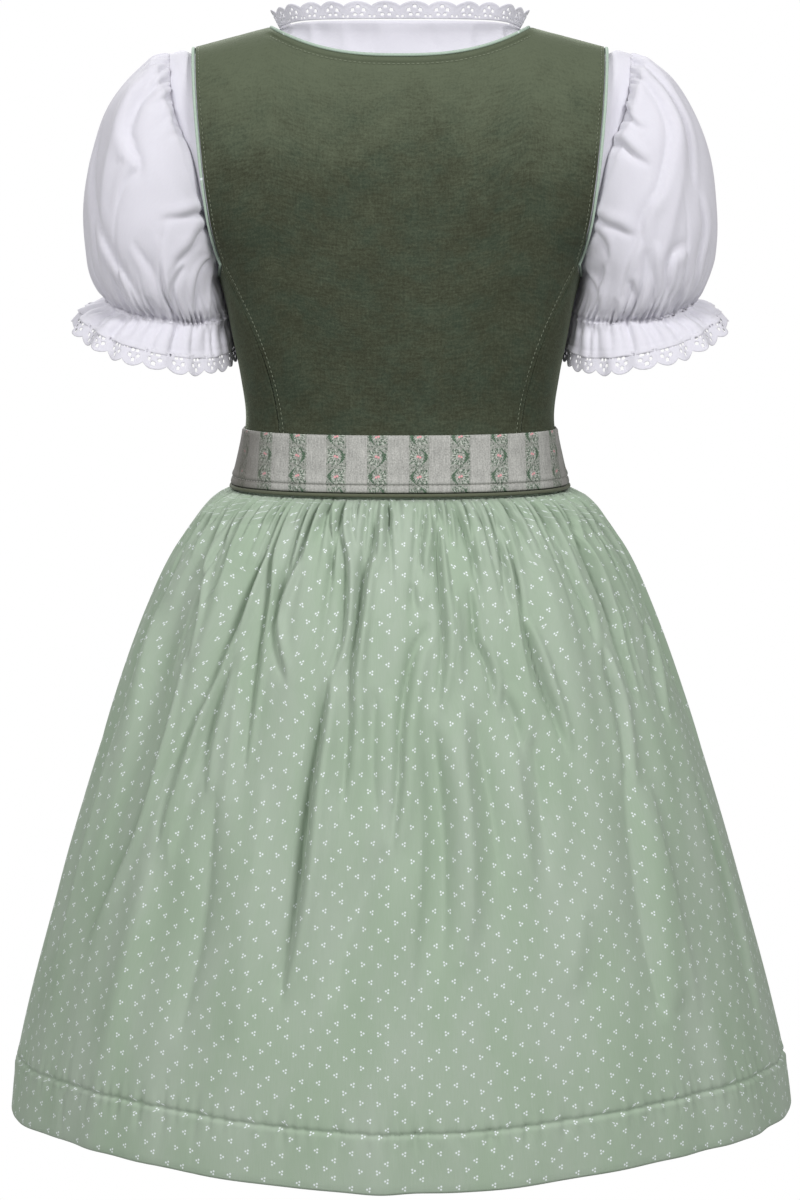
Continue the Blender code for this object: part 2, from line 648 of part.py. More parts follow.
def make_sleeves(material, lace_material):
    rows = len(SLEEVE_RINGS)

    def place(u, v):
        turn = math.tau * u
        row = round(v * rows)
        if row == 0:
            start = armhole_ring_point(turn)
            away = (ring_point(SLEEVE_RINGS[0], turn, 0) - start).normalized()
            return start + away * 2 * SEAM_GAP
        point = ring_point(SLEEVE_RINGS[row - 1], turn, CUFF_GATHERS)
        gather = CAP_GATHER_HEIGHTS[row - 1] if row <= len(CAP_GATHER_HEIGHTS) else 0.0
        lift = gather * math.cos(2 * CAP_GATHERS * turn) * ease(math.cos(turn) * 1.6 + 0.3)
        return point + (point - SLEEVE_MIDDLE).normalized() * lift

    def place_lace(u, v):
        turn = math.tau * u
        top = ring_point(LACE_RINGS[0], turn, CUFF_GATHERS)
        edge = ring_point(LACE_RINGS[1], turn, CUFF_GATHERS)
        reach = 1 - SCALLOP_SHARE + SCALLOP_SHARE * abs(math.sin(SLEEVE_SCALLOPS * turn / 2))
        return top.lerp(edge, v * reach)

    for hand, cloth, lace, inside in (
        ("left", place, place_lace, SLEEVE_MIDDLE),
        ("right", mirrored(place), mirrored(place_lace), Vector((-SLEEVE_MIDDLE.x, 0, SLEEVE_MIDDLE.z))),
    ):
        columns = CUFF_GATHERS * 4
        add_sheet(f"sleeve_{hand}", columns, rows, cloth, inside, BLOUSE_WALL, material, True, 0.44)
        columns = SLEEVE_SCALLOPS * 2
        under = inside - Vector((0.0, 0.0, 0.08))
        add_sheet(f"sleeve_lace_{hand}", columns, 1, lace, under, BLOUSE_WALL, lace_material, True)


def hem_z(angle, hem):
    return hem - 0.002 * math.cos(2 * angle) + 0.005 * math.sin(2 * angle) ** 2


def fold_height(folds, angle, z):
    """How far the long folds push the cloth out."""
    degrees = math.degrees(angle)
    total = 0.0
    for fold in folds:
        along = (fold.top_z - z) / (fold.top_z - fold.low_z)
        if not 0.0 < along < 1.0:
            continue
        centre = fold.top_angle + (fold.low_angle - fold.top_angle) * along
        total += fold.height * math.sin(math.pi * along ** 0.6) * bump((degrees - centre) / fold.width)
    return total


def gather_height(angle, below):
    """The skirt's gathers below its seam: they deepen a little, pair up and fade."""
    fine = SKIRT_GATHER_HEIGHT * (1 + below / 0.02) * math.exp(-below / 0.032)
    paired = SKIRT_GATHER_HEIGHT * 1.2 * ease(below / 0.05) * math.exp(-below / 0.09)
    return fine * math.cos(SKIRT_GATHERS * angle) + paired * math.cos(SKIRT_GATHERS / 2 * angle + 0.6)


def skirt_point(angle, z, out, folds):
    """Point of the skirt's inner face, grown outwards in plan by out."""
    x, y = section_xy(skirt_curves, angle, z, 0.0)
    half_width, depth = skirt_curves["half_width"](z), skirt_curves["back"](z)
    normal = Vector((x / half_width ** 2, y / depth ** 2, 0.0)).normalized()
    return Vector((x, y, z)) + normal * (out + fold_height(folds, angle, z))


SKIRT_ROWS = [0.0, 0.010, 0.024, 0.042, 0.066, 0.098, 0.140, 0.190, 0.250, 0.320, 0.390, 1.0]


def skirt_place(start, folds):
    """Placing function of half the skirt, from an angle to the opposite side."""
    def place(u, v):
        inset = SEAM_GAP / 2 / skirt_curves["half_width"](SKIRT_TOP)
        angle = start + inset + (math.pi - 2 * inset) * u
        row = round(v * (len(SKIRT_ROWS) - 1))
        low = hem_z(angle, SKIRT_HEM)
        z = low if row == len(SKIRT_ROWS) - 1 else SKIRT_TOP - SKIRT_ROWS[row]
        below = SKIRT_TOP - z
        return skirt_point(angle, z, gather_height(angle, below), folds)

    return place


def make_skirt(material):
    for name, start, folds, keep in (
        ("skirt_back", -math.pi / 2, BACK_FOLDS, 0.60),
        ("skirt_front", math.pi / 2, FRONT_FOLDS, 0.46),
    ):
        add_sheet(
            name, SKIRT_GATHERS, len(SKIRT_ROWS) - 1, skirt_place(start, folds), WAIST, SKIRT_WALL,
            material, keep=keep,
        )


APRON_ROWS = [0.0, 0.012, 0.030, 0.055, 0.090, 0.140, 0.210, 0.290, 1.0]


def make_apron(material):
    half = math.radians(APRON_HALF_ANGLE)

    def place(u, v):
        angle = math.pi - half + 2 * half * u
        row = round(v * (len(APRON_ROWS) - 1))
        z = APRON_HEM if row == len(APRON_ROWS) - 1 else APRON_TOP - APRON_ROWS[row]
        fading = math.exp(-(APRON_TOP - z) / 0.08)
        ripple = APRON_GATHER_HEIGHT * math.cos(APRON_GATHERS * math.tau * u) * fading
        return skirt_point(angle, z, APRON_CLEARANCE + ripple, FRONT_FOLDS)

    add_sheet(
        "apron_panel", APRON_GATHERS * 2, len(APRON_ROWS) - 1, place, WAIST, SKIRT_WALL, material, keep=0.85
    )


def make_band(material):
    def place(u, v):
        return torso_point(math.tau * u, BAND_TOP + (BAND_BOTTOM - BAND_TOP) * v, BAND_LAYER)

    add_sheet("apron_band", 56, 2, place, WAIST, BAND_WALL, material, closed=True)


def front_depth(curves, x, z, out):
    """How far a section reaches forward at a distance from the centre line."""
    share = min(abs(x) / (curves["half_width"](z) + out), 1.0)
    power = curves["roundness"](z)
    return (curves["front"](z) + out) * (1 - share ** power) ** (1 / power)


def front_surface(x, z):
    """How far the band or the apron reaches forward."""
    band = front_depth(torso_curves, x, z, BAND_LAYER + BAND_WALL)
    apron = front_depth(skirt_curves, x, z, APRON_CLEARANCE + 0.0032)
    angle = math.pi - math.copysign(torso_angle(x, max(z, BAND_BOTTOM), BAND_LAYER), x)
    return max(band, apron + fold_height(FRONT_FOLDS, angle, z))


def make_bow(material):
    """A bow tied in the band's ends at the centre front."""
    low, high = (front_surface(0.0, BOW_Z - end * KNOT_SIZE.z / 2) for end in (1, -1))
    slope = math.atan2(low - high, KNOT_SIZE.z)
    knot_back = (low + high) / 2 + 3 * SEAM_GAP
    bm = bmesh.new()
    bmesh.ops.create_cube(bm, size=1.0)
    bmesh.ops.scale(bm, vec=KNOT_SIZE, verts=bm.verts)
    bmesh.ops.bevel(bm, geom=bm.edges[:], offset=0.0045, segments=2, profile=0.5, affect="EDGES")
    mesh = bpy.data.meshes.new("bow_knot")
    bm.to_mesh(mesh)
    bm.free()
    mesh.shade_smooth()
    knot = add_object("bow_knot", mesh, material)
    knot.location = (0.0, -knot_back - KNOT_SIZE.y / 2 * math.cos(slope), BOW_Z)
    knot.rotation_euler.x = -slope
    root = KNOT_SIZE.x / 2 + 3 * SEAM_GAP

    def place_loop(u, v):
        out_share = (1 - math.cos(math.tau * u)) / 2
        x = root + LOOP_REACH * out_share
        width = LOOP_WIDTH * (0.55 + 0.45 * ease(out_share * 1.6))
        z = BOW_Z - LOOP_DROOP * out_share ** 2 + width * (0.5 - v)
        forward = 0.0045 + 0.0070 * u + 0.0060 * max(0.0, math.sin(math.tau * (u - 0.5)))
        return Vector((x, -front_surface(x, z) - forward, z))

    def place_tail(u, v):
        x = 0.004 + TAIL_WIDTH * (0.45 + 0.55 * ease(v * 2.5)) * u + 0.016 * v
        z = BOW_Z - KNOT_SIZE.z / 2 - 6 * SEAM_GAP - TAIL_LENGTH * v - 0.012 * u * v
        ripple = 0.0015 * (1 - math.cos(math.tau * 1.5 * u)) * ease(v * 2)
        return Vector((x, -front_surface(x, z) - 0.0012 - ripple, z))

    for hand, sign in (("left", 1), ("right", -1)):
        loop, tail = (place_loop, place_tail) if sign > 0 else (mirrored(place_loop), mirrored(place_tail))
        heart = Vector((sign * (root + LOOP_REACH * 0.55), -knot_back - 0.008, BOW_Z - 0.004))
        add_sheet(f"bow_loop_{hand}", 16, 2, loop, heart, 0.001, material)
        add_sheet(f"bow_tail_{hand}", 4, 8, tail, WAIST, 0.001, material)


for old in list(bpy.data.objects):
    bpy.data.objects.remove(old, do_unlink=True)
set_collection = make_collection("dirndl_set")

velveteen = make_material("green_velveteen", (0.060, 0.072, 0.045), 0.92)
mint_piping = make_material("mint_piping", (0.42, 0.56, 0.46), 0.85)
green_piping = make_material("green_piping", (0.050, 0.060, 0.038), 0.90)
cotton_print = make_material("sage_cotton", (0.40, 0.50, 0.40), 0.85)
apron_cloth = make_material("striped_apron_cloth", (0.28, 0.28, 0.25), 0.80)
white_cotton = make_material("white_cotton", (0.80, 0.80, 0.84), 0.85)
white_lace = make_material("white_lace", (0.84, 0.84, 0.87), 0.85)
button_metal = make_material("button_metal", (0.55, 0.53, 0.48), 0.40, 1.0)

make_bodice_back(velveteen)
make_bodice_fronts(velveteen)
make_bodice_sides(velveteen)
make_pipings(mint_piping, green_piping)
make_buttons(button_metal)
make_blouse_body(white_cotton)
make_neckband(white_cotton)
make_neck_lace(white_lace)
make_sleeves(white_cotton, white_lace)
make_skirt(cotton_print)
make_apron(apron_cloth)
make_band(apron_cloth)
make_bow(apron_cloth)
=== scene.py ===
import math
import random

import bmesh
import bpy
import numpy as np
from mathutils import Matrix, Vector


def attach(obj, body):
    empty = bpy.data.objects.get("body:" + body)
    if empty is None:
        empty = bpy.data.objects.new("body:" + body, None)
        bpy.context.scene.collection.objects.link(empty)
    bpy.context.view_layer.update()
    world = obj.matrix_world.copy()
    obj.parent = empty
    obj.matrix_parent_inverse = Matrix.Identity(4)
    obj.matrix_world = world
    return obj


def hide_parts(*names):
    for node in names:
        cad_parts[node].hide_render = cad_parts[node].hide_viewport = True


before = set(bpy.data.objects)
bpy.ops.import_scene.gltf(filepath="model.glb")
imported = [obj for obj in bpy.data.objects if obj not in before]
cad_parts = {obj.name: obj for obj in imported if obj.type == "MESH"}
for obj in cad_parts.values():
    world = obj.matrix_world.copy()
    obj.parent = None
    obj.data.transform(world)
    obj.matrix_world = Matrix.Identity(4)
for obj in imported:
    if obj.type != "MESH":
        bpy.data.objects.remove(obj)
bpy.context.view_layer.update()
scene = bpy.context.scene
print("frame loaded:", len(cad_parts), "nodes")

# Metres, +Z up, the wearer faces -Y. An angle runs round the figure from the centre back (0)
# over the wearer's left side (90 degrees) to the centre front (180). Creases are charted in mm.
mm = 0.001
seamGap = 0.0003  # between the pieces on both sides of a seam
seamLap = 0.0003  # backs and fronts reach this far past the side seam
sides = (("Left", 1), ("Right", -1))

# height, half width, depth behind, depth in front, and squareness (2 is an ellipse)
torsoSections = [
    (0.030, 0.1720, 0.0360, 0.0360, 2.3),
    (0.000, 0.1720, 0.0440, 0.0420, 2.3),
    (-0.030, 0.1710, 0.0530, 0.0520, 2.3),
    (-0.060, 0.1700, 0.0620, 0.0620, 2.3),
    (-0.085, 0.1670, 0.0690, 0.0700, 2.3),
    (-0.110, 0.1560, 0.0740, 0.0750, 2.3),
    (-0.135, 0.1400, 0.0770, 0.0780, 2.3),
    (-0.155, 0.1245, 0.0785, 0.0795, 2.3),
    (-0.175, 0.1175, 0.0790, 0.0800, 2.3),
    (-0.205, 0.1110, 0.0785, 0.0795, 2.3),
    (-0.235, 0.1050, 0.0770, 0.0785, 2.3),
    (-0.265, 0.1018, 0.0765, 0.0785, 2.3),
    (-0.290, 0.1062, 0.0805, 0.0820, 2.3),
    (-0.315, 0.1130, 0.0860, 0.0865, 2.3),
]
skirtSections = [
    (-0.295, 0.1020, 0.0770, 0.0770, 2.25),
    (-0.307, 0.1128, 0.0875, 0.0880, 2.25),
    (-0.311, 0.1165, 0.0912, 0.0915, 2.25),
    (-0.319, 0.1262, 0.1000, 0.0995, 2.20),
    (-0.333, 0.1378, 0.1105, 0.1085, 2.15),
    (-0.346, 0.1470, 0.1190, 0.1160, 2.10),
    (-0.360, 0.1550, 0.1260, 0.1225, 2.08),
    (-0.388, 0.1682, 0.1380, 0.1330, 2.05),
    (-0.457, 0.1945, 0.1590, 0.1530, 2.00),
    (-0.527, 0.2172, 0.1765, 0.1700, 1.97),
    (-0.597, 0.2372, 0.1905, 0.1840, 1.94),
    (-0.668, 0.2562, 0.2030, 0.1960, 1.92),
    (-0.710, 0.2656, 0.2090, 0.2015, 1.90),
    (-0.750, 0.2706, 0.2130, 0.2050, 1.90),
]
shoulder = {"neck": 0.0874, "atNeck": -0.0029, "slope": 0.263, "rounding": 0.045}


def smoothColumn(keys, values):  # a smooth curve through values, against rising keys
    keys, values = np.asarray(keys, float), np.asarray(values, float)
    slopes = np.gradient(values, keys)

    def at(key):
        key = np.clip(key, keys[0], keys[-1])
        i = np.clip(np.searchsorted(keys, key, side="right") - 1, 0, len(keys) - 2)
        span = keys[i + 1] - keys[i]
        t = (key - keys[i]) / span
        start = values[i] * (1 + 2 * t) * (1 - t) ** 2 + slopes[i] * span * t * (1 - t) ** 2
        return start + values[i + 1] * t * t * (3 - 2 * t) + slopes[i + 1] * span * t * t * (t - 1)

    return at


def curvesDown(rows, *names):  # a smooth curve for each column of a chart, against the drop in its first
    drops = [-row[0] for row in rows]
    return {name: smoothColumn(drops, [row[i + 1] for row in rows]) for i, name in enumerate(names)}


torsoCurves = curvesDown(torsoSections, "half", "back", "front", "round")
skirtCurves = curvesDown(skirtSections, "half", "back", "front", "round")


def ease(t):
    t = np.clip(t, 0.0, 1.0)
    return t * t * (3 - 2 * t)


def bell(x):
    return np.exp(-x * x)


def denser(*spots):  # moves even steps closer together at each spot: its place, reach and strength
    share = np.linspace(0.0, 1.0, 2001)
    density = 1 + sum(strength * bell((share - place) / reach) for place, reach, strength in spots)
    filled = np.concatenate([[0.0], np.cumsum((density[1:] + density[:-1]) / 2)])
    return lambda step: np.interp(step, filled / filled[-1], share)


def signedPower(value, power):
    return np.sign(value) * np.abs(value) ** power


def sectionXy(curves, angle, z, out):
    power = 2 / curves["round"](-z)
    depth = np.where(np.cos(angle) >= 0, curves["back"](-z), curves["front"](-z))
    x = (curves["half"](-z) + out) * signedPower(np.sin(angle), power)
    return x, (depth + out) * signedPower(np.cos(angle), power)


def shoulderZ(x, out):
    return shoulder["atNeck"] - shoulder["slope"] * (np.abs(x) - shoulder["neck"]) + out


def torsoPoint(angle, z, out):  # on the figure, out metres from the skin, rounded at the shoulder
    x, y = sectionXy(torsoCurves, angle, z, out)
    below = np.clip((shoulderZ(x, out) - z) / shoulder["rounding"], 0.0, 1.0)
    return np.stack([x, y * np.sqrt(1 - (1 - below) ** 2), z + 0 * x], axis=-1)


def sidePoint(angle, z, out, side):  # the same, from the centre back (side 1) or front (side -1)
    return torsoPoint(angle if side > 0 else math.pi - angle, z, out)


def torsoAngle(x, z, out):
    share = np.clip(np.abs(x) / (torsoCurves["half"](-z) + out), 0.0, 1.0)
    return np.arcsin(share ** (torsoCurves["round"](-z) / 2))


def onTorso(x, z, out, side):  # the point over x and z, behind (side 1) or in front (side -1)
    x, z = np.broadcast_arrays(np.asarray(x, float), np.asarray(z, float))
    points = sidePoint(torsoAngle(x, z, out), z, out, side)
    points[..., 0] = np.copysign(points[..., 0], x)
    points[..., 1] -= side * seamLap
    return points


def foldRelief(lines, across, down, acrossScale=mm, downScale=mm):
    # each line is a height and a width in mm, then the places (across, down) it passes through,
    # which the scales turn into metres of cloth; a fold is steep on one side, where a soft hollow
    # follows it, and fades at both ends; one of negative height is a crease, which is sharper
    across, down = np.broadcast_arrays(across, down)
    total = np.zeros(across.shape)
    x, y = across * acrossScale, down * downScale
    for height, width, *places in lines:
        height, width = height * mm, width * mm
        stops = np.array(places, float).reshape(-1, 2) * (acrossScale, downScale)
        keys = np.arange(len(stops))
        fine = np.linspace(0, len(stops) - 1, 5 * len(stops))
        path = np.stack([smoothColumn(keys, stops[:, i])(fine) for i in range(2)], axis=1)
        reach = 4 * width
        near = (x > path[:, 0].min() - reach) & (x < path[:, 0].max() + reach)
        near &= (y > path[:, 1].min() - reach) & (y < path[:, 1].max() + reach)
        px, py = x[near], y[near]
        closest = np.full(px.shape, 9.0)
        aside, along = np.zeros(px.shape), np.zeros(px.shape)
        for i, (a, b) in enumerate(zip(path, path[1:])):
            run = b - a
            length = math.hypot(*run)
            t = np.clip(((px - a[0]) * run[0] + (py - a[1]) * run[1]) / length ** 2, 0.0, 1.0)
            away = np.hypot(px - a[0] - t * run[0], py - a[1] - t * run[1])
            turned = np.sign((px - a[0]) * run[1] - (py - a[1]) * run[0])
            nearer = away < closest
            closest = np.where(nearer, away, closest)
            aside = np.where(nearer, away * turned, aside)
            along = np.where(nearer, (i + t) / (len(path) - 1), along)
        fade = np.sin(math.pi * np.clip(along, 0.0, 1.0) ** 0.8) ** 0.7
        wide = width * (0.55 + 0.45 * fade)
        core = np.abs(aside / (wide * np.where(aside > 0, 1.0, 0.55)))
        core = np.exp(-core ** (1.7 if height > 0 else 1.35))
        shape = core - 0.55 * bell((aside + 1.7 * wide) / (1.3 * wide))
        total[near] += height * shape * fade
    return total


def gathersFor(seed, first, last, pitch, depth, width, length):
    # uneven gathers between two angles: angle, depth, width in degrees, length in metres, drift
    chance = random.Random(seed)
    gathers, angle = [], first + pitch * 0.5
    while angle < last - pitch * 0.3:
        long = chance.choice((0.4, 0.6, 0.8, 1.0, 1.7))
        gathers.append((
            angle, depth * chance.uniform(0.5, 1.25), width * chance.uniform(0.7, 1.35),
            length * long * chance.uniform(0.8, 1.2), chance.uniform(-30, 30),
        ))
        angle += pitch * chance.uniform(0.6, 1.4)
    return gathers


def gatherDepth(gathers, degrees, below):  # how far the cloth sinks in at its gathers
    degrees, below = np.broadcast_arrays(degrees, below)
    total = np.zeros(degrees.shape)
    for angle, depth, width, length, drift in gathers:
        away = (degrees - angle - drift * below + 180) % 360 - 180
        fade = (0.80 + 0.20 * ease(below / 0.004)) * np.exp(-(below / length) ** 1.6)
        total += depth * fade * np.exp(-np.abs(away / (width * (1 + below * 6))) ** 1.5)
    return total


def unit(vectors):
    return vectors / np.maximum(np.linalg.norm(vectors, axis=1)[:, None], 1e-15)


def lifted(base, u, v, lift, inside):  # the base surface, moved out along its own normal
    step = 0.0015
    across = base(u + step, v) - base(u - step, v)
    down = base(u, np.minimum(v + step, 1.0)) - base(u, np.maximum(v - step, 0.0))
    normal = unit(np.cross(down, across))
    points = base(u, v)
    if np.sum(normal * (points - inside)) < 0:
        normal = -normal
    return points + normal * lift[:, None]


def addObject(name, data):
    obj = bpy.data.objects.new(name, data)
    scene.collection.objects.link(obj)
    return obj


def meshObject(name, bm, material, smooth=True):
    mesh = bpy.data.meshes.new(name)
    bm.to_mesh(mesh)
    bm.free()
    if smooth:
        mesh.shade_smooth()
    mesh.materials.append(material)
    return addObject(name, mesh)


def finishPiece(obj, slot, *nodes):  # there is one rigid body, and every piece rides on it
    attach(obj, "root")
    if nodes:
        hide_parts(*nodes)


def nodeOf(name):  # bodiceSideBackLeft stands for the node bodice_side_back_left
    return "".join("_" + letter.lower() if letter.isupper() else letter for letter in name)


def flatGrid(columns, rows):  # a grid to bend, and how far across and down its points are
    bm = bmesh.new()
    bm.loops.layers.uv.new("cloth")
    bmesh.ops.create_grid(bm, x_segments=columns, y_segments=rows, size=0.5)
    flat = np.array([vertex.co for vertex in bm.verts])
    return bm, flat[:, 0] + 0.5, 0.5 - flat[:, 1]


def bendGrid(bm, points, cloth):  # moves its points, and writes the UV map in metres of cloth
    layer = bm.loops.layers.uv["cloth"]
    for vertex, point in zip(bm.verts, points):
        vertex.co = point
    for face in bm.faces:
        for loop in face.loops:
            loop[layer].uv = cloth[loop.vert.index]


def sewPiece(name, bm, fabric, inside, flat=None, held="hung", area=None, standsFor=None, thickness=None):
    # turns the faces away from a point inside, and gives the cloth its thickness towards it
    bm.normal_update()
    inside = Vector(inside)
    if sum(face.normal.dot(face.calc_center_median() - inside) for face in bm.faces) < 0:
        bmesh.ops.reverse_faces(bm, faces=bm.faces)
    obj = meshObject(name, bm, fabric["material"])
    wall = obj.modifiers.new("wall", "SOLIDIFY")
    wall.thickness = thickness or fabric["thickness"]
    wall.offset = -1.0
    wall.use_rim = True
    finishPiece(obj, fabric["slot"], standsFor or nodeOf(name))


def clothSheet(
    name, fabric, grid, place, inside, flat=None, held="hung", area=None, closed=False, width=0.0,
    hidden=None, shift=0.0, rise=0.0, turned=False, **sewing,
):
    # a grid (columns, rows) bent by place(u, v), where u runs across and v down; the cloth may be
    # cut to a width, and hidden(u, v) then says where the rest of that width is tucked away
    columns, rows = grid
    bm, u, v = flatGrid(columns, rows)
    order = np.lexsort((u.round(6), v.round(6)))
    points = place(u, v)
    net = points[order].reshape(rows + 1, columns + 1, 3)
    stepAcross = np.linalg.norm(np.diff(net, axis=1), axis=2)
    if width:
        share = hidden(u, v)[order].reshape(rows + 1, columns + 1) + 0.00005
        share = (share[:, 1:] + share[:, :-1]) / 2
        spare = np.maximum(width - stepAcross.sum(axis=1), 0.0)
        stepAcross += spare[:, None] * share / share.sum(axis=1)[:, None]
    along = np.concatenate([np.zeros((rows + 1, 1)), np.cumsum(stepAcross, axis=1)], axis=1)
    along = along - along[:, columns // 2:columns // 2 + 1] + shift
    stepDown = np.linalg.norm(np.diff(net, axis=0), axis=2).mean(axis=1)
    down = np.concatenate([[0.0], np.cumsum(stepDown)])[:, None] + 0 * along
    cloth = np.empty((len(u), 2))
    cloth[order] = np.stack([along.ravel(), rise - down.ravel()], axis=1)
    bendGrid(bm, points, cloth[:, ::-1] if turned else cloth)
    if closed:
        bmesh.ops.remove_doubles(bm, verts=bm.verts, dist=0.00002)
    sewPiece(name, bm, fabric, inside, flat, held, area, **sewing)


def handed(place, sign):  # the shape as it is on the left (sign 1), or mirrored for the right (-1)
    return lambda *where: place(*where) * np.array([sign, 1.0, 1.0])


def evenly(points, pitch):  # (places, directions) every pitch metres along a path
    points = np.asarray(points, float)
    steps = np.linalg.norm(np.diff(points, axis=0), axis=1)
    along = np.concatenate([[0.0], np.cumsum(steps)])
    stops = np.arange(pitch / 2, along[-1], pitch)

    def at(stop):
        return np.stack([np.interp(stop, along, points[:, i]) for i in range(3)], axis=1)

    return at(stops), at(stops + pitch * 0.2) - at(stops - pitch * 0.2)


stitch = {"length": 0.0023, "radius": 0.00022, "pitch": 0.0032}


def stitchRows(name, paths, material, slot):  # short stitches lying on the cloth, as one joined mesh
    bm = bmesh.new()
    size = Matrix.Diagonal((stitch["length"] / 2, stitch["radius"], stitch["radius"], 1))
    for path in paths:
        for place, direction in zip(*evenly(path, stitch["pitch"])):
            turned = Vector(direction).to_track_quat("X", "Z").to_matrix().to_4x4()
            matrix = Matrix.Translation(place) @ turned @ size
            bmesh.ops.create_icosphere(bm, subdivisions=1, radius=1.0, matrix=matrix)
    finishPiece(meshObject(name, bm, material), slot)


def pipingAlong(name, points, radius, material, slot):  # a closed cord through the points
    curve = bpy.data.curves.new(name, "CURVE")
    curve.dimensions = "3D"
    curve.bevel_depth = radius
    curve.bevel_resolution = 3
    spline = curve.splines.new("POLY")
    spline.points.add(len(points) - 1)
    for splinePoint, point in zip(spline.points, points):
        splinePoint.co = (*point, 1.0)
    spline.use_cyclic_u = True
    curve.materials.append(material)
    finishPiece(addObject(name, curve), slot, nodeOf(name))


cloths = {
    "velveteenDark": (0.032, 0.035, 0.020),
    "velveteenCool": (0.030, 0.042, 0.027),
    "velveteenLight": (0.096, 0.114, 0.073),
    "sage": (0.320, 0.408, 0.305),
    "sagePale": (0.366, 0.437, 0.355),
    "print": (0.74, 0.79, 0.80),
    "white": (0.640, 0.630, 0.687),
    "mint": (0.370, 0.465, 0.385),
    "piping": (0.095, 0.105, 0.068),
    "stripeLight": (0.349, 0.349, 0.327),
    "stripeDark": (0.260, 0.270, 0.242),
    "vine": (0.036, 0.074, 0.042),
    "vineLight": (0.090, 0.150, 0.092),
    "leaf": (0.46, 0.50, 0.44),
    "rose": (0.66, 0.30, 0.32),
    "bandThread": (0.50, 0.50, 0.46),
    "bodiceThread": (0.190, 0.215, 0.145),
    "skirtThread": (0.26, 0.33, 0.25),
}


class Wire:  # a value that changes over a material; sums with it are written as plain arithmetic
    def __init__(self, socket):
        self.socket, self.tree = socket, socket.id_data

    def __add__(self, other):
        return calc("ADD", self, other)

    def __sub__(self, other):
        return calc("SUBTRACT", self, other)

    def __rsub__(self, other):
        return calc("SUBTRACT", other, self)

    def __mul__(self, other):
        return calc("MULTIPLY", self, other)

    def __truediv__(self, other):
        return calc("DIVIDE", self, other)

    def __mod__(self, other):
        return calc("FLOORED_MODULO", self, other)

    def __pow__(self, other):
        return calc("POWER", self, other)

    def __abs__(self):
        return calc("ABSOLUTE", self)


def feed(socket, value):
    if isinstance(value, Wire):
        value.tree.links.new(value.socket, socket)
    else:
        socket.default_value = value


def node(kind, sockets, output=0, tree=None, **settings):
    tree = tree or next(value.tree for value in sockets.values() if isinstance(value, Wire))
    made = tree.nodes.new("ShaderNode" + kind)
    for key, value in settings.items():
        setattr(made, key, value)
    for key, value in sockets.items():
        feed(made.inputs[key], value)
    return Wire(made.outputs[output])


def calc(operation, *values):
    return node("Math", dict(enumerate(values)), operation=operation)


def blendColours(factor, a, b):
    a, b = ((*value, 1.0) if isinstance(value, tuple) else value for value in (a, b))
    return node("Mix", {0: factor, 6: a, 7: b}, 2, data_type="RGBA")


def shaded(colour, value):  # a colour made lighter or darker
    return node("HueSaturation", {"Value": value, "Color": (*colour, 1.0)})


def split(vector):  # its x, y and z
    return [Wire(output) for output in node("SeparateXYZ", {0: vector}).socket.node.outputs]


def clothVector(tree):  # metres of cloth, across and up
    return node("UVMap", {}, tree=tree, uv_map="cloth")


def objectVector(tree):
    return node("TexCoord", {}, 3, tree)


def stretched(vector, across, up):
    return node("Mapping", {"Vector": vector, "Scale": (across, up, 1.0)})


def noise(vector, scale, detail=2.0, roughness=0.5):  # scale is one number, or one across and one up
    if isinstance(scale, tuple):
        vector, scale = stretched(vector, *scale), 1.0
    return node("TexNoise", {"Vector": vector, "Scale": scale, "Detail": detail, "Roughness": roughness})


def ramp(value, low, high):  # 0 below low, 1 above high
    sockets = {"Value": value, "From Min": low, "From Max": high}
    return node("MapRange", sockets, interpolation_type="SMOOTHSTEP")


def under(value, low, high):  # 1 below low, 0 above high
    return 1.0 - ramp(value, low, high)


def spots(vector, scale, low, high, randomness=1.0):  # 1 in round spots strewn over the cloth
    sockets = {"Vector": vector, "Scale": scale, "Randomness": randomness}
    return under(node("TexVoronoi", sockets), low, high)


def relief(height, distance, strength):
    return node("Bump", {"Height": height, "Distance": distance, "Strength": strength})


def cottonWeave(vector, pitch):  # fine crossing threads
    across, up = (calc("SINE", part * (math.tau / pitch)) for part in split(vector)[:2])
    return across * up


def newMaterial(name, roughness, **settings):
    material = bpy.data.materials.new(name)
    material.use_nodes = True
    shader = material.node_tree.nodes["Principled BSDF"].inputs
    shader["Roughness"].default_value = roughness
    for socket, value in settings.items():
        shader[socket.replace("_", " ")].default_value = value
    return material, material.node_tree, shader


def makeVelveteen():
    material, tree, shader = newMaterial(
        "greenVelveteen", 0.9, Sheen_Weight=0.5, Sheen_Roughness=0.3,
        Sheen_Tint=(0.62, 0.70, 0.54, 1.0), Specular_IOR_Level=0.18,
    )
    vector = clothVector(tree)
    grain = noise(vector, (640, 560), 3, 0.8)
    ribs = noise(vector, (700, 90), 2, 0.6)
    dashes = noise(vector, (120, 520), 3, 0.65)
    brushed = noise(vector, (24, 30), 5, 0.66)
    high = split(objectVector(tree))[2] + brushed * 0.06  # painted sheen: the colour is lighter towards the shoulders, where the light catches the pile
    # the tone holds the painted shoulder sheen, and also the pile's own grain, ribs, dashes and patches
    tone = ramp(high, -0.095, 0.030) * 0.62 + grain * 0.95 + ribs * 0.30 + dashes * 0.62 + brushed * 0.42
    hue = ramp(noise(vector, (34, 42), 4, 0.7), 0.40, 0.66)
    dark = blendColours(hue, cloths["velveteenDark"], cloths["velveteenCool"])
    feed(shader["Base Color"], blendColours(ramp(tone, 0.85, 1.85), dark, cloths["velveteenLight"]))
    feed(shader["Normal"], relief(dashes * 0.8 + grain, 0.0004, 0.55))
    return material


sprigs = {
    "pitch": 0.0118,  # two columns
    "rowHeight": 0.0110,
    "drops": (0.382, 0.36),  # these pick the columns that are dropped by half a row
    "turns": (6, 126, 246),  # where the three dots lie round the sprig's middle
    "reach": 0.00112,
    "dot": (0.00048, 0.00082),  # radius of the full colour and of the dot's edge
}


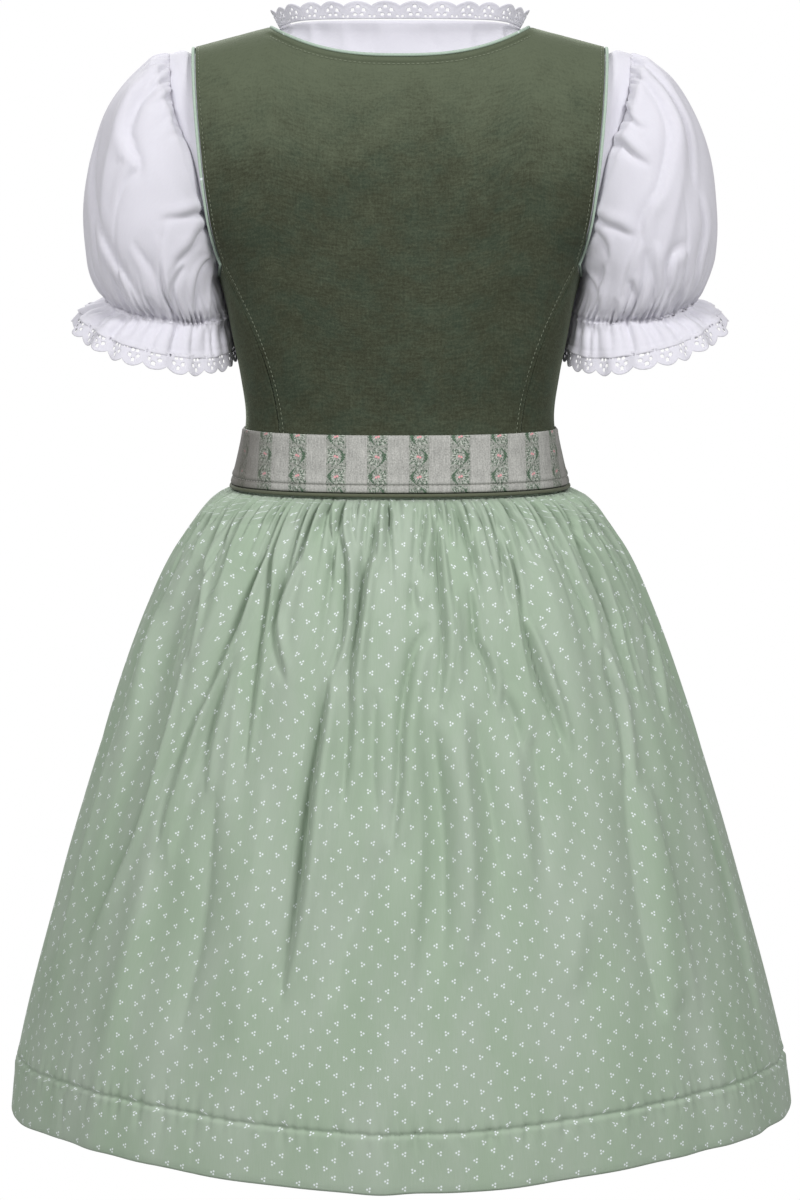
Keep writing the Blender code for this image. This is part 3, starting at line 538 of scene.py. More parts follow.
def dotPrint(across, up):
    # columns of three-dot sprigs that point right and left by turns; every second or third column
    # is dropped, and there the turns change over every four rows
    pitch, rowHeight = sprigs["pitch"], sprigs["rowHeight"]
    share = across / pitch
    chance = calc("FRACT", calc("FLOOR", share) * sprigs["drops"][0])
    dropped = calc("LESS_THAN", chance, sprigs["drops"][1])
    rows = up / rowHeight + dropped * 0.5
    row = calc("FLOOR", rows)
    side = 1.0 - (row + dropped * calc("FLOOR", row / 4.0)) % 2.0 * 2.0
    x = ((calc("FRACT", share) - 0.5) * pitch - side * (pitch / 4)) * side
    y = (calc("FRACT", rows) - 0.5) * rowHeight
    nearest = 1.0
    for turn in sprigs["turns"]:
        dx = x - sprigs["reach"] * math.cos(math.radians(turn))
        dy = y - sprigs["reach"] * math.sin(math.radians(turn))
        nearest = calc("MINIMUM", calc("SQRT", dx * dx + dy * dy), nearest)
    return under(nearest, *sprigs["dot"])


def makeSagePrint():
    material, tree, shader = newMaterial("sagePrint", 0.78, Sheen_Weight=0.12, Specular_IOR_Level=0.25)
    vector = clothVector(tree)
    threads = noise(vector, (1100, 90))
    tone = threads * 0.25 + noise(vector, (22, 9), 3) * 0.75
    ground = blendColours(ramp(tone, 0.34, 0.68), cloths["sage"], cloths["sagePale"])
    feed(shader["Base Color"], blendColours(dotPrint(*split(vector)[:2]), ground, cloths["print"]))
    feed(shader["Normal"], relief(cottonWeave(vector, 0.0006) * 0.5 + threads, 0.00012, 0.6))
    return material


stripes = {
    "pitch": 0.0275,  # a plain and a flowered stripe together
    "flowered": 0.49,  # the flowered stripe's share
    "repeat": 0.0266,  # two turns of the vine
    "swing": 0.0047,
    "vineWidth": (0.00150, 0.00012),  # added where it is leafy, and everywhere
    "leafPitch": 0.0017,
    "sideShade": (0.110, 0.098, 0.084),
    # painted shade: the band darkens to a brown grey at its right and left side, where the light falls off: x
    # of the start and end, and how much
    "shadedSides": [(-0.092, -0.118, 0.55), (0.076, 0.112, 0.80)],
    "bandFrom": -0.3070,  # only the band reaches above this height
    # sprays beside each turn of the vine, in mm: x, y, angle, half length, half width
    "darkLeaves": [
        (-1.3, 3, 112, 0.9, 0.3), (-2.7, 2.6, 138, 1, 0.32), (-3.5, 1.4, 158, 1, 0.32),
        (-3.9, 0, 180, 1, 0.32), (-3.6, -1.5, 203, 1, 0.32), (-2.7, -2.7, 224, 1, 0.32),
        (-1.3, -3.2, 248, 0.9, 0.3), (0.6, 2.9, 72, 0.8, 0.28), (0.8, -3, -66, 0.8, 0.28),
        (-4.9, 3.6, 120, 1.1, 0.34), (-5, -3.6, 60, 1.1, 0.34), (-2.2, 4.6, 160, 1, 0.3),
        (-2, -4.8, 200, 1, 0.3), (1.6, 4.5, 30, 0.9, 0.3),
    ],
    "paleLeaves": [
        (-2, 2.1, 125, 0.8, 0.28), (-2.6, 0.8, 160, 0.8, 0.28), (-2.6, -0.8, 200, 0.8, 0.28),
        (-1.9, -2.1, 232, 0.8, 0.28), (-3.8, 3, 140, 1, 0.32), (-4.9, 1, 172, 1, 0.32),
        (-4.7, -1.6, 195, 1, 0.32), (-3.6, -4, 225, 1, 0.32), (2, 1.2, 50, 0.8, 0.28),
        (2.1, -1.2, -50, 0.8, 0.28), (-0.4, 4.4, 95, 0.9, 0.3), (-0.6, -4.5, 262, 0.9, 0.3),
    ],
    "petals": [
        (-0.8, 0.3, 15, 0.85, 0.75), (0.7, -0.2, -25, 0.85, 0.7),
    ],
    "hearts": [
        (0, 0, 0, 0.28, 0.26),
    ],
}


def insideAny(point, ellipses, soft=0.25):  # 1 inside any of the ellipses, which are charted in mm
    found = 0.0
    for x, y, angle, halfLength, halfWidth in ellipses:
        local = node("Mapping", {
            "Vector": point, "Location": (x * mm, y * mm, 0), "Rotation": (0, 0, math.radians(angle)),
            "Scale": (halfLength * mm, halfWidth * mm, 1),
        }, vector_type="TEXTURE")
        away = node("VectorMath", {0: local}, 1, operation="LENGTH")
        found = calc("MAXIMUM", under(away, 1 - soft, 1 + soft), found)
    return found


def makeStriped():
    material, tree, shader = newMaterial(
        "stripedApronCloth", 0.62, Sheen_Weight=0.10, Specular_IOR_Level=0.35
    )
    vector = clothVector(tree)
    across, up = split(vector)[:2]
    pitch, turnHeight = stripes["pitch"], stripes["repeat"] / 2
    a = (calc("FRACT", across / pitch) - 0.5) * pitch
    half = pitch * stripes["flowered"] / 2
    flowered = under(abs(a), half - 0.0002, half + 0.0002)
    turn = up / turnHeight
    b = calc("FRACT", turn) - 0.5  # -0.5 to 0.5 along one turn of the vine
    a = a * (1.0 - calc("FLOOR", turn) % 2.0 * 2.0)
    point = node("CombineXYZ", {0: a, 1: b * turnHeight})
    arch = calc("COSINE", b * math.pi)
    leafy = abs(calc("SINE", a * 1500.0 + up * (math.pi / stripes["leafPitch"])))
    width = (leafy * 0.7 + 0.3) * arch ** 2.2 * stripes["vineWidth"][0] + stripes["vineWidth"][1]
    vine = under(abs(a - arch * stripes["swing"]) / width, 0.75, 1.25)
    grain = noise(vector, (1000, 860), 2, 0.7)
    weft = noise(vector, (150, 1300), 1)
    rough = noise(vector, (900, 120)) * 0.40 + noise(vector, (60, 90), 3) * 0.22 + grain * 0.75
    plain = shaded(cloths["stripeLight"], rough * 1.8 - 0.24)
    figure = shaded(cloths["stripeDark"], rough * 1.6 - 0.10)
    green = blendColours(ramp(grain, 0.42, 0.62), cloths["vine"], cloths["vineLight"])
    for where, paint in (
        (spots(stretched(vector, 820, 560), 1.0, 0.24, 0.44) * 0.85, cloths["vine"]),
        (spots(stretched(vector, 610, 690), 1.0, 0.18, 0.36) * 0.75, cloths["leaf"]),
        (insideAny(point, stripes["paleLeaves"]), cloths["leaf"]),
        (insideAny(point, stripes["darkLeaves"]), green),
        (vine, green),
        (insideAny(point, stripes["petals"]), cloths["rose"]),
        (insideAny(point, stripes["hearts"]), cloths["stripeDark"]),
    ):
        figure = blendColours(where, figure, paint)
    # painted shade: the band's right and left side are darkened towards a brown grey
    place = split(objectVector(tree))
    right, left = (ramp(place[0], start, end) * share for start, end, share in stripes["shadedSides"])
    aside = (right + left) * calc("GREATER_THAN", place[2], stripes["bandFrom"])
    colour = blendColours(flowered, plain, figure)
    feed(shader["Base Color"], blendColours(aside, colour, stripes["sideShade"]))
    feed(shader["Normal"], relief(flowered * 0.6 + grain + weft, 0.00018, 0.7))
    return material


def makeWhite(name, embroidered=False):
    material, tree, shader = newMaterial(
        name, 0.82, Sheen_Weight=0.15, Specular_IOR_Level=0.2, Subsurface_Weight=0.30,
        Subsurface_Radius=(1.0, 1.0, 1.0), Subsurface_Scale=0.0010,
    )
    vector = clothVector(tree)
    threads = noise(vector, (1200, 260))
    feed(shader["Base Color"], shaded(cloths["white"], threads * 0.06 + 0.97))
    if embroidered:
        feed(shader["Normal"], relief(noise(vector, (900, 2600), 1), 0.0003, 0.8))
    else:
        feed(shader["Normal"], relief(cottonWeave(vector, 0.0005) * 0.4 + threads, 0.0001, 0.5))
    return material


def makeCordCover(name, colour, dotColour=None):  # piping: cloth cut on the bias round a cord
    material, tree, shader = newMaterial(name, 0.85, Sheen_Weight=0.15, Specular_IOR_Level=0.2)
    vector = objectVector(tree)
    twist = noise(vector, 900)
    cover = shaded(colour, twist * 0.4 + 0.8)
    if dotColour:
        cover = blendColours(spots(vector, 110.0, 0.10, 0.17, 0.9), cover, dotColour)
    feed(shader["Base Color"], cover)
    feed(shader["Normal"], relief(twist, 0.0003, 0.6))
    return material


def makeThread(name):
    material, tree, shader = newMaterial(name, 0.6, Sheen_Weight=0.2)
    feed(shader["Base Color"], shaded(cloths[name], noise(objectVector(tree), 2400, 1) * 0.5 + 0.75))
    return material


def makeButtonMetal():
    material, tree, shader = newMaterial("dullSilver", 0.38, Metallic=1.0)
    worn = noise(objectVector(tree), 420, 4)
    feed(shader["Base Color"], blendColours(worn, (0.30, 0.29, 0.26), (0.66, 0.64, 0.59)))
    feed(shader["Roughness"], worn * 0.35 + 0.22)
    feed(shader["Normal"], relief(worn, 0.0002, 0.5))
    return material


def fabric(slot, thickness, material):
    return {"slot": slot, "thickness": thickness, "material": material}


velveteen = fabric("green_velveteen", 0.0011, makeVelveteen())
sageCotton = fabric("sage_cotton", 0.0007, makeSagePrint())
apronCloth = fabric("striped_apron_cloth", 0.0008, makeStriped())
whiteCotton = fabric("white_cotton", 0.0006, makeWhite("whiteCotton"))
whiteLace = fabric("white_lace", 0.0005, makeWhite("whiteLace", embroidered=True))
mintCord = makeCordCover("mintPiping", cloths["mint"], cloths["print"])
greenCord = makeCordCover("greenPiping", cloths["piping"])
bodiceThread, bandThread, skirtThread = map(makeThread, ("bodiceThread", "bandThread", "skirtThread"))
buttonMetal = makeButtonMetal()
print("materials made")


bodice = {
    "layer": 0.0029,  # its outer face, from the skin
    "bottom": -0.3075,
    "tip": 0.138,  # the shoulder's outer end
    "backDrop": 0.0205,
    "frontDrop": 0.0750,
    "neckCurve": 2.6,
    "join": -0.158,  # where the side panels' seams meet the armhole
    "underarm": -0.168,
    "lap": 0.0006,  # the turned edge of the back and front lies this far over the side panels
    "roll": (0.0009, 0.0014),  # depth and reach of a turned edge
    "neckRoll": (0.0013, 0.0024),
    "groove": (0.00045, 0.0010),  # depth and reach of the groove that a row of stitches makes
    "neckGroove": (0.0013, 0.0013),
    "ripple": 0.00012,
    "sideRipple": 0.0003,
    "stitchIn": 0.0030,  # topstitching, from the edge
    "neckStitchIn": 0.0056,
    "stitchEnd": -0.2700,  # the band hides the rest of the seams
    "opening": (0.0032, -0.092, -0.266),  # stitches beside the front opening: x, upper and lower end
    # height, distance of the seam or armhole from the centre line behind and in front
    "edge": [
        (-0.0133, 0.1380, 0.1380),
        (-0.0600, 0.1345, 0.1290),
        (-0.0850, 0.1322, 0.1240),
        (-0.1100, 0.1295, 0.1210),
        (-0.1360, 0.1255, 0.1195),
        (-0.1580, 0.1195, 0.1150),
        (-0.1730, 0.1118, 0.1050),
        (-0.1900, 0.1035, 0.0930),
        (-0.2100, 0.0948, 0.0780),
        (-0.2300, 0.0880, 0.0700),
        (-0.2500, 0.0830, 0.0645),
        (-0.2700, 0.0803, 0.0615),
        (-0.3100, 0.0800, 0.0630),
    ],
    # soft creases: height, width, then the x and z of their ends
    "creases": [
        (0.7, 10, -105, -150, -20, -176), (-0.6, 9, 108, -128, 60, -170), (0.5, 8, -85, -215, -60, -262),
        (0.6, 9, 80, -205, 52, -268), (0.4, 10, -30, -205, -18, -268), (-0.4, 8, 20, -225, 30, -268),
        (0.5, 10, -118, -40, -85, -75), (0.6, 10, 115, -35, 80, -80),
    ],
}
bodiceEdge = curvesDown(bodice["edge"], 1, -1)  # by side: 1 behind, -1 in front


def neckZ(x, half, drop, out):  # height of a neckline at a distance from the centre line
    share = np.clip(np.abs(x) / half, 0.0, 1.0)
    return shoulderZ(half, out) - drop * (1 - share ** bodice["neckCurve"])


def roundedRise(t, height):  # rises evenly, and slower where the shoulder rounds over
    share, bend = shoulder["rounding"] / height, 0.6
    turn = np.clip((1 - t) / (1 - bend), 0.0, 1.0) * math.pi / 2
    return np.where(t < bend, t / bend * (1 - share), 1 - share * (1 - np.cos(turn)))


panelColumns = denser((0.985, 0.025, 2.2))  # closer together at the outer seam
panelRows = denser((0.0, 0.030, 3.5), (1.0, 0.02, 1.0))  # and at the top and the bottom


def panelShape(side, garment, edgeX, half, drop, whole, shape):
    # places a panel from the centre line to its outer edge; shape(x, z, fromEdge, fromTop) is its relief
    bottom, out = garment["bottom"], garment["layer"]
    top = float(shoulderZ(garment["tip"], out))
    tipAngle = float(torsoAngle(edgeX(top), top, out))

    def place(u, v):
        across = 2 * u - 1 if whole else u
        share = panelColumns(np.abs(across))
        rise = roundedRise(1 - panelRows(v), top - bottom)
        topX = sectionXy(torsoCurves, share * tipAngle, top, out)[0]
        columnTop = np.where(topX < half, neckZ(topX, half, drop, out), shoulderZ(topX, out))
        rowZ = bottom + (top - bottom) * rise
        z = bottom + (columnTop - bottom) * rise
        angle = share * torsoAngle(edgeX(rowZ), rowZ, out)
        if not whole:
            angle = np.maximum(angle, torsoAngle(seamGap / 2, z, out))
        x = np.copysign(sectionXy(torsoCurves, angle, z, out)[0], across)
        fromTop = np.where(topX < half, columnTop - z, 1.0)
        raised = out + shape(x, z, (1 - share) * edgeX(rowZ), fromTop)
        points = sidePoint(angle, z, raised, side)
        points[:, 0] = np.copysign(points[:, 0], across)
        points[:, 1] -= side * seamLap
        return points

    return place


def rolledEdge(distance, roll):
    depth, reach = roll
    return -depth * (1 - ease(distance / reach))


def stitchedDown(distance, groove):
    depth, reach = groove
    return -depth * bell(distance / reach)


def bodiceRelief(x, z, fromEdge, fromTop):
    soft = foldRelief(bodice["creases"], x / mm, z / mm)
    hem = rolledEdge(fromEdge, bodice["roll"]) + stitchedDown(fromEdge - bodice["stitchIn"], bodice["groove"])
    neck = rolledEdge(fromTop, bodice["neckRoll"])
    neck = neck + stitchedDown(fromTop - bodice["neckStitchIn"], bodice["neckGroove"])
    ripple = bodice["ripple"] * np.sin(x * 210 + 3 * np.sin(z * 60)) * np.sin(z * 170 + 2)
    return bodice["lap"] * (z < bodice["join"] + 0.004) + soft + hem + neck + ripple


def seamEdge(side):
    return lambda z: bodiceEdge[side](-z) - seamGap / 2


def armholeFloor(u):  # height of the armhole on a side panel, from its seam (0) to the side (1)
    return bodice["join"] + (bodice["underarm"] - bodice["join"]) * np.sin(u * math.pi / 2)


def sidePanel(side):
    def place(u, v):
        rowZ = bodice["bottom"] + (bodice["join"] - bodice["bottom"]) * (1 - v)
        z = bodice["bottom"] + (armholeFloor(u) - bodice["bottom"]) * (1 - v)
        edge = torsoAngle(bodiceEdge[side](-rowZ) + seamGap / 2, rowZ, bodice["layer"])
        angle = edge + (math.pi / 2 - edge) * u
        out = bodice["layer"] + rolledEdge(armholeFloor(u) - z, bodice["roll"])
        out = out + bodice["sideRipple"] * np.sin(z * 95 + 4 * u) * np.sin(3 * u)
        out = out + seamLap * side * ease((u - 0.94) / 0.06)
        points = sidePoint(angle, z, out, side)
        points[:, 1] += side * seamGap / 2
        return points

    return place


def makeBodice():
    chest = (0.0, 0.0, -0.17)

    def panel(side, drop, whole):
        return panelShape(side, bodice, seamEdge(side), shoulder["neck"], drop, whole, bodiceRelief)

    back, front = panel(1, bodice["backDrop"], True), panel(-1, bodice["frontDrop"], False)
    clothSheet("bodiceBack", velveteen, (130, 86), back, chest, (0.30, 0.31), area=0.074)
    for hand, sign in sides:
        shape = handed(front, sign)
        clothSheet(f"bodiceFront{hand}", velveteen, (70, 90), shape, chest, (0.155, 0.31), area=0.030)
    for where, side, width, area in (("Back", 1, 0.075, 0.0088), ("Front", -1, 0.090, 0.0115)):
        for hand, sign in sides:
            name, shape = f"bodiceSide{where}{hand}", handed(sidePanel(side), sign)
            clothSheet(name, velveteen, (36, 60), shape, chest, (width, 0.155), area=area)


def neckPath(out, inside):  # the neckline behind and in front, moved inside its edge by a distance
    points = []
    for side, drop in ((1, bodice["backDrop"]), (-1, bodice["frontDrop"])):
        x = shoulder["neck"] * np.sin(np.linspace(-math.pi / 2, math.pi / 2, 90)) * side
        z = neckZ(x, shoulder["neck"], drop, out)
        slope = np.gradient(z, x)
        points.append(onTorso(x, z - inside * np.minimum(np.sqrt(1 + slope ** 2), 2.2), out, side)[1:-1])
    return points


def armholePath(side, out, inside):  # from the shoulder down to the side seam
    top = float(shoulderZ(bodice["tip"], out))
    z = bodice["join"] + (top - bodice["join"]) * roundedRise(np.linspace(1, 0, 70), top - bodice["join"])
    upper = onTorso(bodiceEdge[side](-z) - inside, z, out, side)
    u = np.linspace(0, 1, 24)[1:]
    edge = torsoAngle(bodiceEdge[side](-bodice["join"]), bodice["join"], out)
    lower = sidePoint(edge + (math.pi / 2 - edge) * u, armholeFloor(u) - inside, out, side)
    return np.concatenate([upper, lower])


piping = {
    "radius": 0.0011,
    "layer": 0.0024,
    "outside": 0.0008,  # from the edge to the cord's middle
    "waistRadius": 0.0013,
    "waistLayer": 0.0038,
    "waistZ": -0.3083,
}


def makePipings():
    back, front = neckPath(piping["layer"], -piping["outside"])
    ring = np.concatenate([back[3:-3], front[3:-3]])
    pipingAlong("neckPiping", ring, piping["radius"], mintCord, "mint_piping")
    behind, ahead = (armholePath(side, piping["layer"], -piping["outside"]) for side in (1, -1))
    ring = np.concatenate([behind, ahead[-2:0:-1]])
    for hand, sign in sides:
        pipingAlong(f"armholePiping{hand}", ring * [sign, 1, 1], piping["radius"], mintCord, "mint_piping")
    ring = torsoPoint(np.linspace(0, math.tau, 181)[:-1], piping["waistZ"], piping["waistLayer"])
    pipingAlong("waistPiping", ring, piping["waistRadius"], greenCord, "green_piping")


def makeBodiceStitches():
    out = bodice["layer"] + 0.0001
    paths = list(neckPath(out, bodice["neckStitchIn"]))
    z = np.linspace(bodice["join"] - 0.001, bodice["stitchEnd"], 40)
    for side in (1, -1):
        for sign in (1, -1):
            x = (bodiceEdge[side](-z) - bodice["stitchIn"]) * sign
            paths.append(onTorso(x, z, out + bodice["lap"], side))
            paths.append(armholePath(side, out, bodice["stitchIn"])[2:] * [sign, 1, 1])
    aside, top, low = bodice["opening"]
    for sign in (1, -1):
        paths.append(onTorso(aside * sign, np.linspace(top, low, 40), out, -1))
    stitchRows("bodiceStitches", paths, bodiceThread, "green_velveteen")


button = {
    "count": 5,
    "top": -0.098,
    "bottom": -0.252,
    "aside": 0.0095,
    "lift": 0.0007,  # of its foot, above the bodice
    # distance from the axis and height of the turned profile
    "profile": [
        (0.0, 0.0), (0.0047, 0.0), (0.0055, 0.0006), (0.0055, 0.0013), (0.0050, 0.0019),
        (0.0043, 0.0017), (0.0037, 0.0012), (0.0026, 0.0017), (0.0012, 0.0022), (0.0, 0.0023),
    ],
    "beads": 8,
    "beadPlace": (0.0036, 0.0, 0.0017),
    "beadRadius": 0.0006,
}


def makeButtons():
    out = bodice["layer"] + button["lift"]
    for number in range(button["count"]):
        z = button["top"] + (button["bottom"] - button["top"]) * number / (button["count"] - 1)
        seat, left, low = (Vector(onTorso(-button["aside"] + dx, z + dz, out, -1)) for dx, dz in
                           ((0, 0), (0.001, 0), (0, -0.001)))
        facing = (left - seat).cross(seat - low).normalized()
        if facing.y > 0:
            facing = -facing
        bm = bmesh.new()
        ring = [bm.verts.new((x, 0.0, height)) for x, height in button["profile"]]
        edges = [bm.edges.new(pair) for pair in zip(ring, ring[1:])]
        bmesh.ops.spin(
            bm, geom=ring + edges, cent=(0, 0, 0), axis=(0, 0, 1), angle=math.tau, steps=40, use_merge=True
        )
        bmesh.ops.remove_doubles(bm, verts=bm.verts, dist=0.00003)
        for bead in range(button["beads"]):
            turned = Matrix.Rotation(math.tau * bead / button["beads"], 4, "Z")
            matrix = turned @ Matrix.Translation(button["beadPlace"])
            bmesh.ops.create_icosphere(bm, subdivisions=2, radius=button["beadRadius"], matrix=matrix)
        bmesh.ops.recalc_face_normals(bm, faces=bm.faces)
        seatMatrix = Matrix.Translation(seat) @ facing.to_track_quat("Z", "Y").to_matrix().to_4x4()
        bmesh.ops.transform(bm, matrix=seatMatrix, verts=bm.verts)
        turned = meshObject(f"buttonTurned{number + 1}", bm, buttonMetal)
        finishPiece(turned, "button_metal", f"button_{number + 1}")


makeBodice()
makePipings()
makeBodiceStitches()
makeButtons()
print("bodice made")


blouse = {
    "layer": -0.0019,
    "bottom": -0.2500,
    "tip": 0.155,
    "underarm": -0.157,
    "neck": 0.0905,
    "backDrop": 0.0240,
    "frontDrop": 0.0800,
    "armholeLap": 0.0020,  # the back and front reach this far under the sleeve
    "tuck": (0.0009, 0.0045),  # depth and reach of the edge's turn below it
    # beside the bodice the shoulder stands higher: how much, from which x and z, and over which distance
    "tipRise": (0.0050, 0.1378, 0.009, -0.075, 0.050),
    # the neckband's bend and its upper ring
    "bendHalf": 0.0812,
    "bendRise": 0.0120,
    "ringHalf": 0.0795,
    "ringBack": 0.0450,
    "ringFront": 0.0590,
    "ringZ": 0.0025,
    "ringDip": 0.0460,  # in front
    "ringDroop": 0.0042,  # at the sides
    "ringBulge": 0.0015,
    "laceEdge": 0.0004,  # the turned edge that holds the lace
    # height and distance of the armhole seam from the centre line
    "armhole": [(-0.0150, 0.1555), (-0.0350, 0.1535), (-0.0550, 0.1510), (-0.0700, 0.1450), (-0.0850, 0.1385),
                (-0.1100, 0.1335), (-0.1360, 0.1295), (-0.1500, 0.1245), (-0.1570, 0.1210)],
    # height, width, then the x and z of both ends
    "creases": [
        (1.2, 4, 136, -20, 120, -60), (1.2, 4, -137, -22, -121, -70), (-0.8, 3, 147, -30, 141, -75),
        (-0.8, 3, -147, -34, -140, -80),
    ],
    # height, width, then the turn in degrees and the share of the way down, of both ends
    "neckCreases": [
        (1.1, 4, 28, 0.05, 24, 0.8), (-0.8, 4, 12, 0, 15, 0.6), (-0.9, 5, -14, 0.05, -20, 0.85),
        (1, 4.5, -38, 0, -33, 0.8), (1.2, 3.5, 48, 0, 44, 0.7), (1.2, 4, -60, 0, -56, 0.75),
        (-1, 4, 70, 0.05, 68, 0.75), (1, 4.5, 112, 0.05, 117, 0.8), (-0.9, 4.5, 138, 0, 134, 0.7),
        (1, 4.5, 163, 0.05, 168, 0.8), (1, 4.5, -120, 0.05, -126, 0.8), (-0.9, 4.5, -150, 0, -146, 0.75),
    ],
}
blouseArmhole = curvesDown(blouse["armhole"], "seam")["seam"]


def tipRise(x, z):
    height, fromX, overX, fromZ, overZ = blouse["tipRise"]
    return height * ease((x - fromX) / overX) * ease((z - fromZ) / overZ)


def makeBlouseBody():
    def edgeX(z):
        below = np.asarray(z) <= blouse["underarm"]
        return np.where(below, 1.0, blouseArmhole(-np.asarray(z)) + blouse["armholeLap"])

    def shape(x, z, fromEdge, fromTop):
        depth, reach = blouse["tuck"]
        tucked = depth * (1 - ease(fromEdge / reach)) * (z > blouse["underarm"])
        return foldRelief(blouse["creases"], x / mm, z / mm) - tucked

    for where, side, drop in (("Back", 1, blouse["backDrop"]), ("Front", -1, blouse["frontDrop"])):
        half = blouse["neck"] + 4 * seamGap
        place = panelShape(side, blouse, edgeX, half, drop + 5 * seamGap, True, shape)

        def raised(u, v, place=place):
            points = place(u, v)
            points[:, 2] += tipRise(np.abs(points[:, 0]), points[:, 2])
            return points

        chest = (0.0, 0.0, -0.17)
        clothSheet(f"blouse{where}", whiteCotton, (90, 60), raised, chest, (0.34, 0.26), area=0.070)


def neckRing(turn):
    front = np.cos(turn) < 0
    depth = np.where(front, blouse["ringFront"], blouse["ringBack"])
    dip = np.where(front, blouse["ringDip"] * np.cos(turn) ** 2, 0.0)
    droop = blouse["ringDroop"] * np.sin(turn) ** 10
    half = blouse["ringHalf"] + blouse["ringBulge"] * np.sin(turn) ** 8
    return np.stack([half * np.sin(turn), depth * np.cos(turn), blouse["ringZ"] - dip - droop], axis=-1)


def levelAway(points):  # directions straight away from the middle of the neck
    return unit(points * [1.0, 1.0, 0.0])


def onNeck(turn, half, rise):  # where the neckband lies on the figure
    x = half * np.sin(turn)
    behind = np.cos(turn) >= 0
    z = neckZ(x, half, np.where(behind, blouse["backDrop"], blouse["frontDrop"]) - rise, blouse["layer"])
    angle = torsoAngle(x, z, blouse["layer"])
    points = torsoPoint(np.where(behind, angle, math.pi - angle), z, blouse["layer"])
    points[:, 0] = x
    return points


def makeNeckband():
    def place(u, v):
        turn = math.tau * u
        top, foot = neckRing(turn), onNeck(turn, blouse["neck"], 0.0)
        bend = onNeck(turn, blouse["bendHalf"], blouse["bendRise"])
        control = 2 * bend - (top + foot) / 2
        down = v[:, None]
        points = (1 - down) ** 2 * top + 2 * down * (1 - down) * control + down ** 2 * foot
        degrees = np.degrees((turn + math.pi) % math.tau - math.pi)
        lift = foldRelief(blouse["neckCreases"], degrees, v, 0.0011, 0.022)
        lift += blouse["laceEdge"] * bell((v - 0.10) / 0.06)
        return points + levelAway(points) * lift[:, None]

    clothSheet(
        "blouseNeckband", whiteCotton, (220, 16), place, (0, 0, -0.005), (0.46, 0.03), "gathered", closed=True
    )


eyelets = {
    # x and y as shares of the scallop's width and height, half width and half height in mm
    "holes": [
        (0.00, 0.70, 1.05, 0.90),
        (-0.20, 0.50, 1.10, 0.85), (0.20, 0.50, 1.10, 0.85),
        (-0.12, 0.25, 1.05, 0.80), (0.12, 0.25, 1.05, 0.80),
        (-0.40, 0.14, 0.55, 0.50), (0.40, 0.14, 0.55, 0.50),
    ],
    "rim": 0.00022,
    "edge": 0.00025,
    "columns": 23,
    "rows": 16,
    "dip": 0.26,  # how much lower the edge is between scallops
}


def laceStrip(name, nodeName, lace, place, inside, flat, area):
    # a closed strip of eyelet lace: a scalloped edge, holes with raised rims, bent by place(u, rise, relief)
    scallops, width, height = lace["scallops"], lace["width"], lace["height"]
    bm, u, v = flatGrid(scallops * eyelets["columns"], eyelets["rows"])
    cell = np.floor(np.minimum(u * scallops, scallops - 1e-6))
    flatX = (u * scallops - cell - 0.5) * width
    tip = height * (1 - eyelets["dip"] * (1 - np.abs(np.cos(math.pi * flatX / width)) ** 0.8))
    x, y = flatX, (1 - v) * tip
    rim, inHole = np.zeros(len(u)), np.zeros(len(u), bool)
    for holeX, holeY, halfX, halfY in eyelets["holes"]:
        holeX, holeY, halfX, halfY = holeX * width, holeY * height, halfX * mm, halfY * mm
        dx, dy = (x - holeX) / halfX, (y - holeY) / halfY
        away = np.hypot(dx, dy)
        snap = (away > 0.68) & (away < 1.32)  # points close to a hole's edge are moved onto it
        x = np.where(snap, holeX + dx / np.maximum(away, 0.01) * halfX, x)
        y = np.where(snap, holeY + dy / np.maximum(away, 0.01) * halfY, y)
        rim += bell((away - 1.35) / 0.40)
        inHole |= away <= 0.68
    relief = eyelets["rim"] * np.minimum(rim, 1.0) + eyelets["edge"] * bell((tip - y) / 0.0011 - 0.6)
    points = place(u + (x - flatX) / width / scallops, y, relief)
    bendGrid(bm, points, np.stack([u * scallops * width, y], axis=1))
    gone = [face for face in bm.faces if any(inHole[vertex.index] for vertex in face.verts)
            or face.calc_area() < 1e-9]
    bmesh.ops.delete(bm, geom=gone, context="FACES")
    bmesh.ops.remove_doubles(bm, verts=bm.verts, dist=0.00001)
    sewPiece(name, bm, whiteLace, inside, flat, "gathered", area, nodeName)


neckLace = {
    "scallops": 27,
    "width": 0.0152,
    "height": 0.0118,
    "lean": 0.0022,
    "sideLean": 0.0030,  # more at the sides
    "lift": 0.0010,
    "wave": 0.0009,
}


def makeNeckLace():
    def place(u, rise, relief):
        turn = math.tau * u
        foot = neckRing(turn)
        share = rise / neckLace["height"]
        wave = neckLace["wave"] * np.sin(neckLace["scallops"] * turn * 0.5 + 0.8 * np.sin(3 * turn)) * share
        lean = neckLace["lean"] + neckLace["sideLean"] * np.sin(turn) ** 8
        points = foot + levelAway(foot) * (lean * share + wave + relief)[:, None]
        points[:, 2] += neckLace["lift"] + rise
        return points

    laceStrip("neckLaceStrip", "neck_lace", neckLace, place, (0, 0, 0), (0.41, 0.0118), 0.0041)


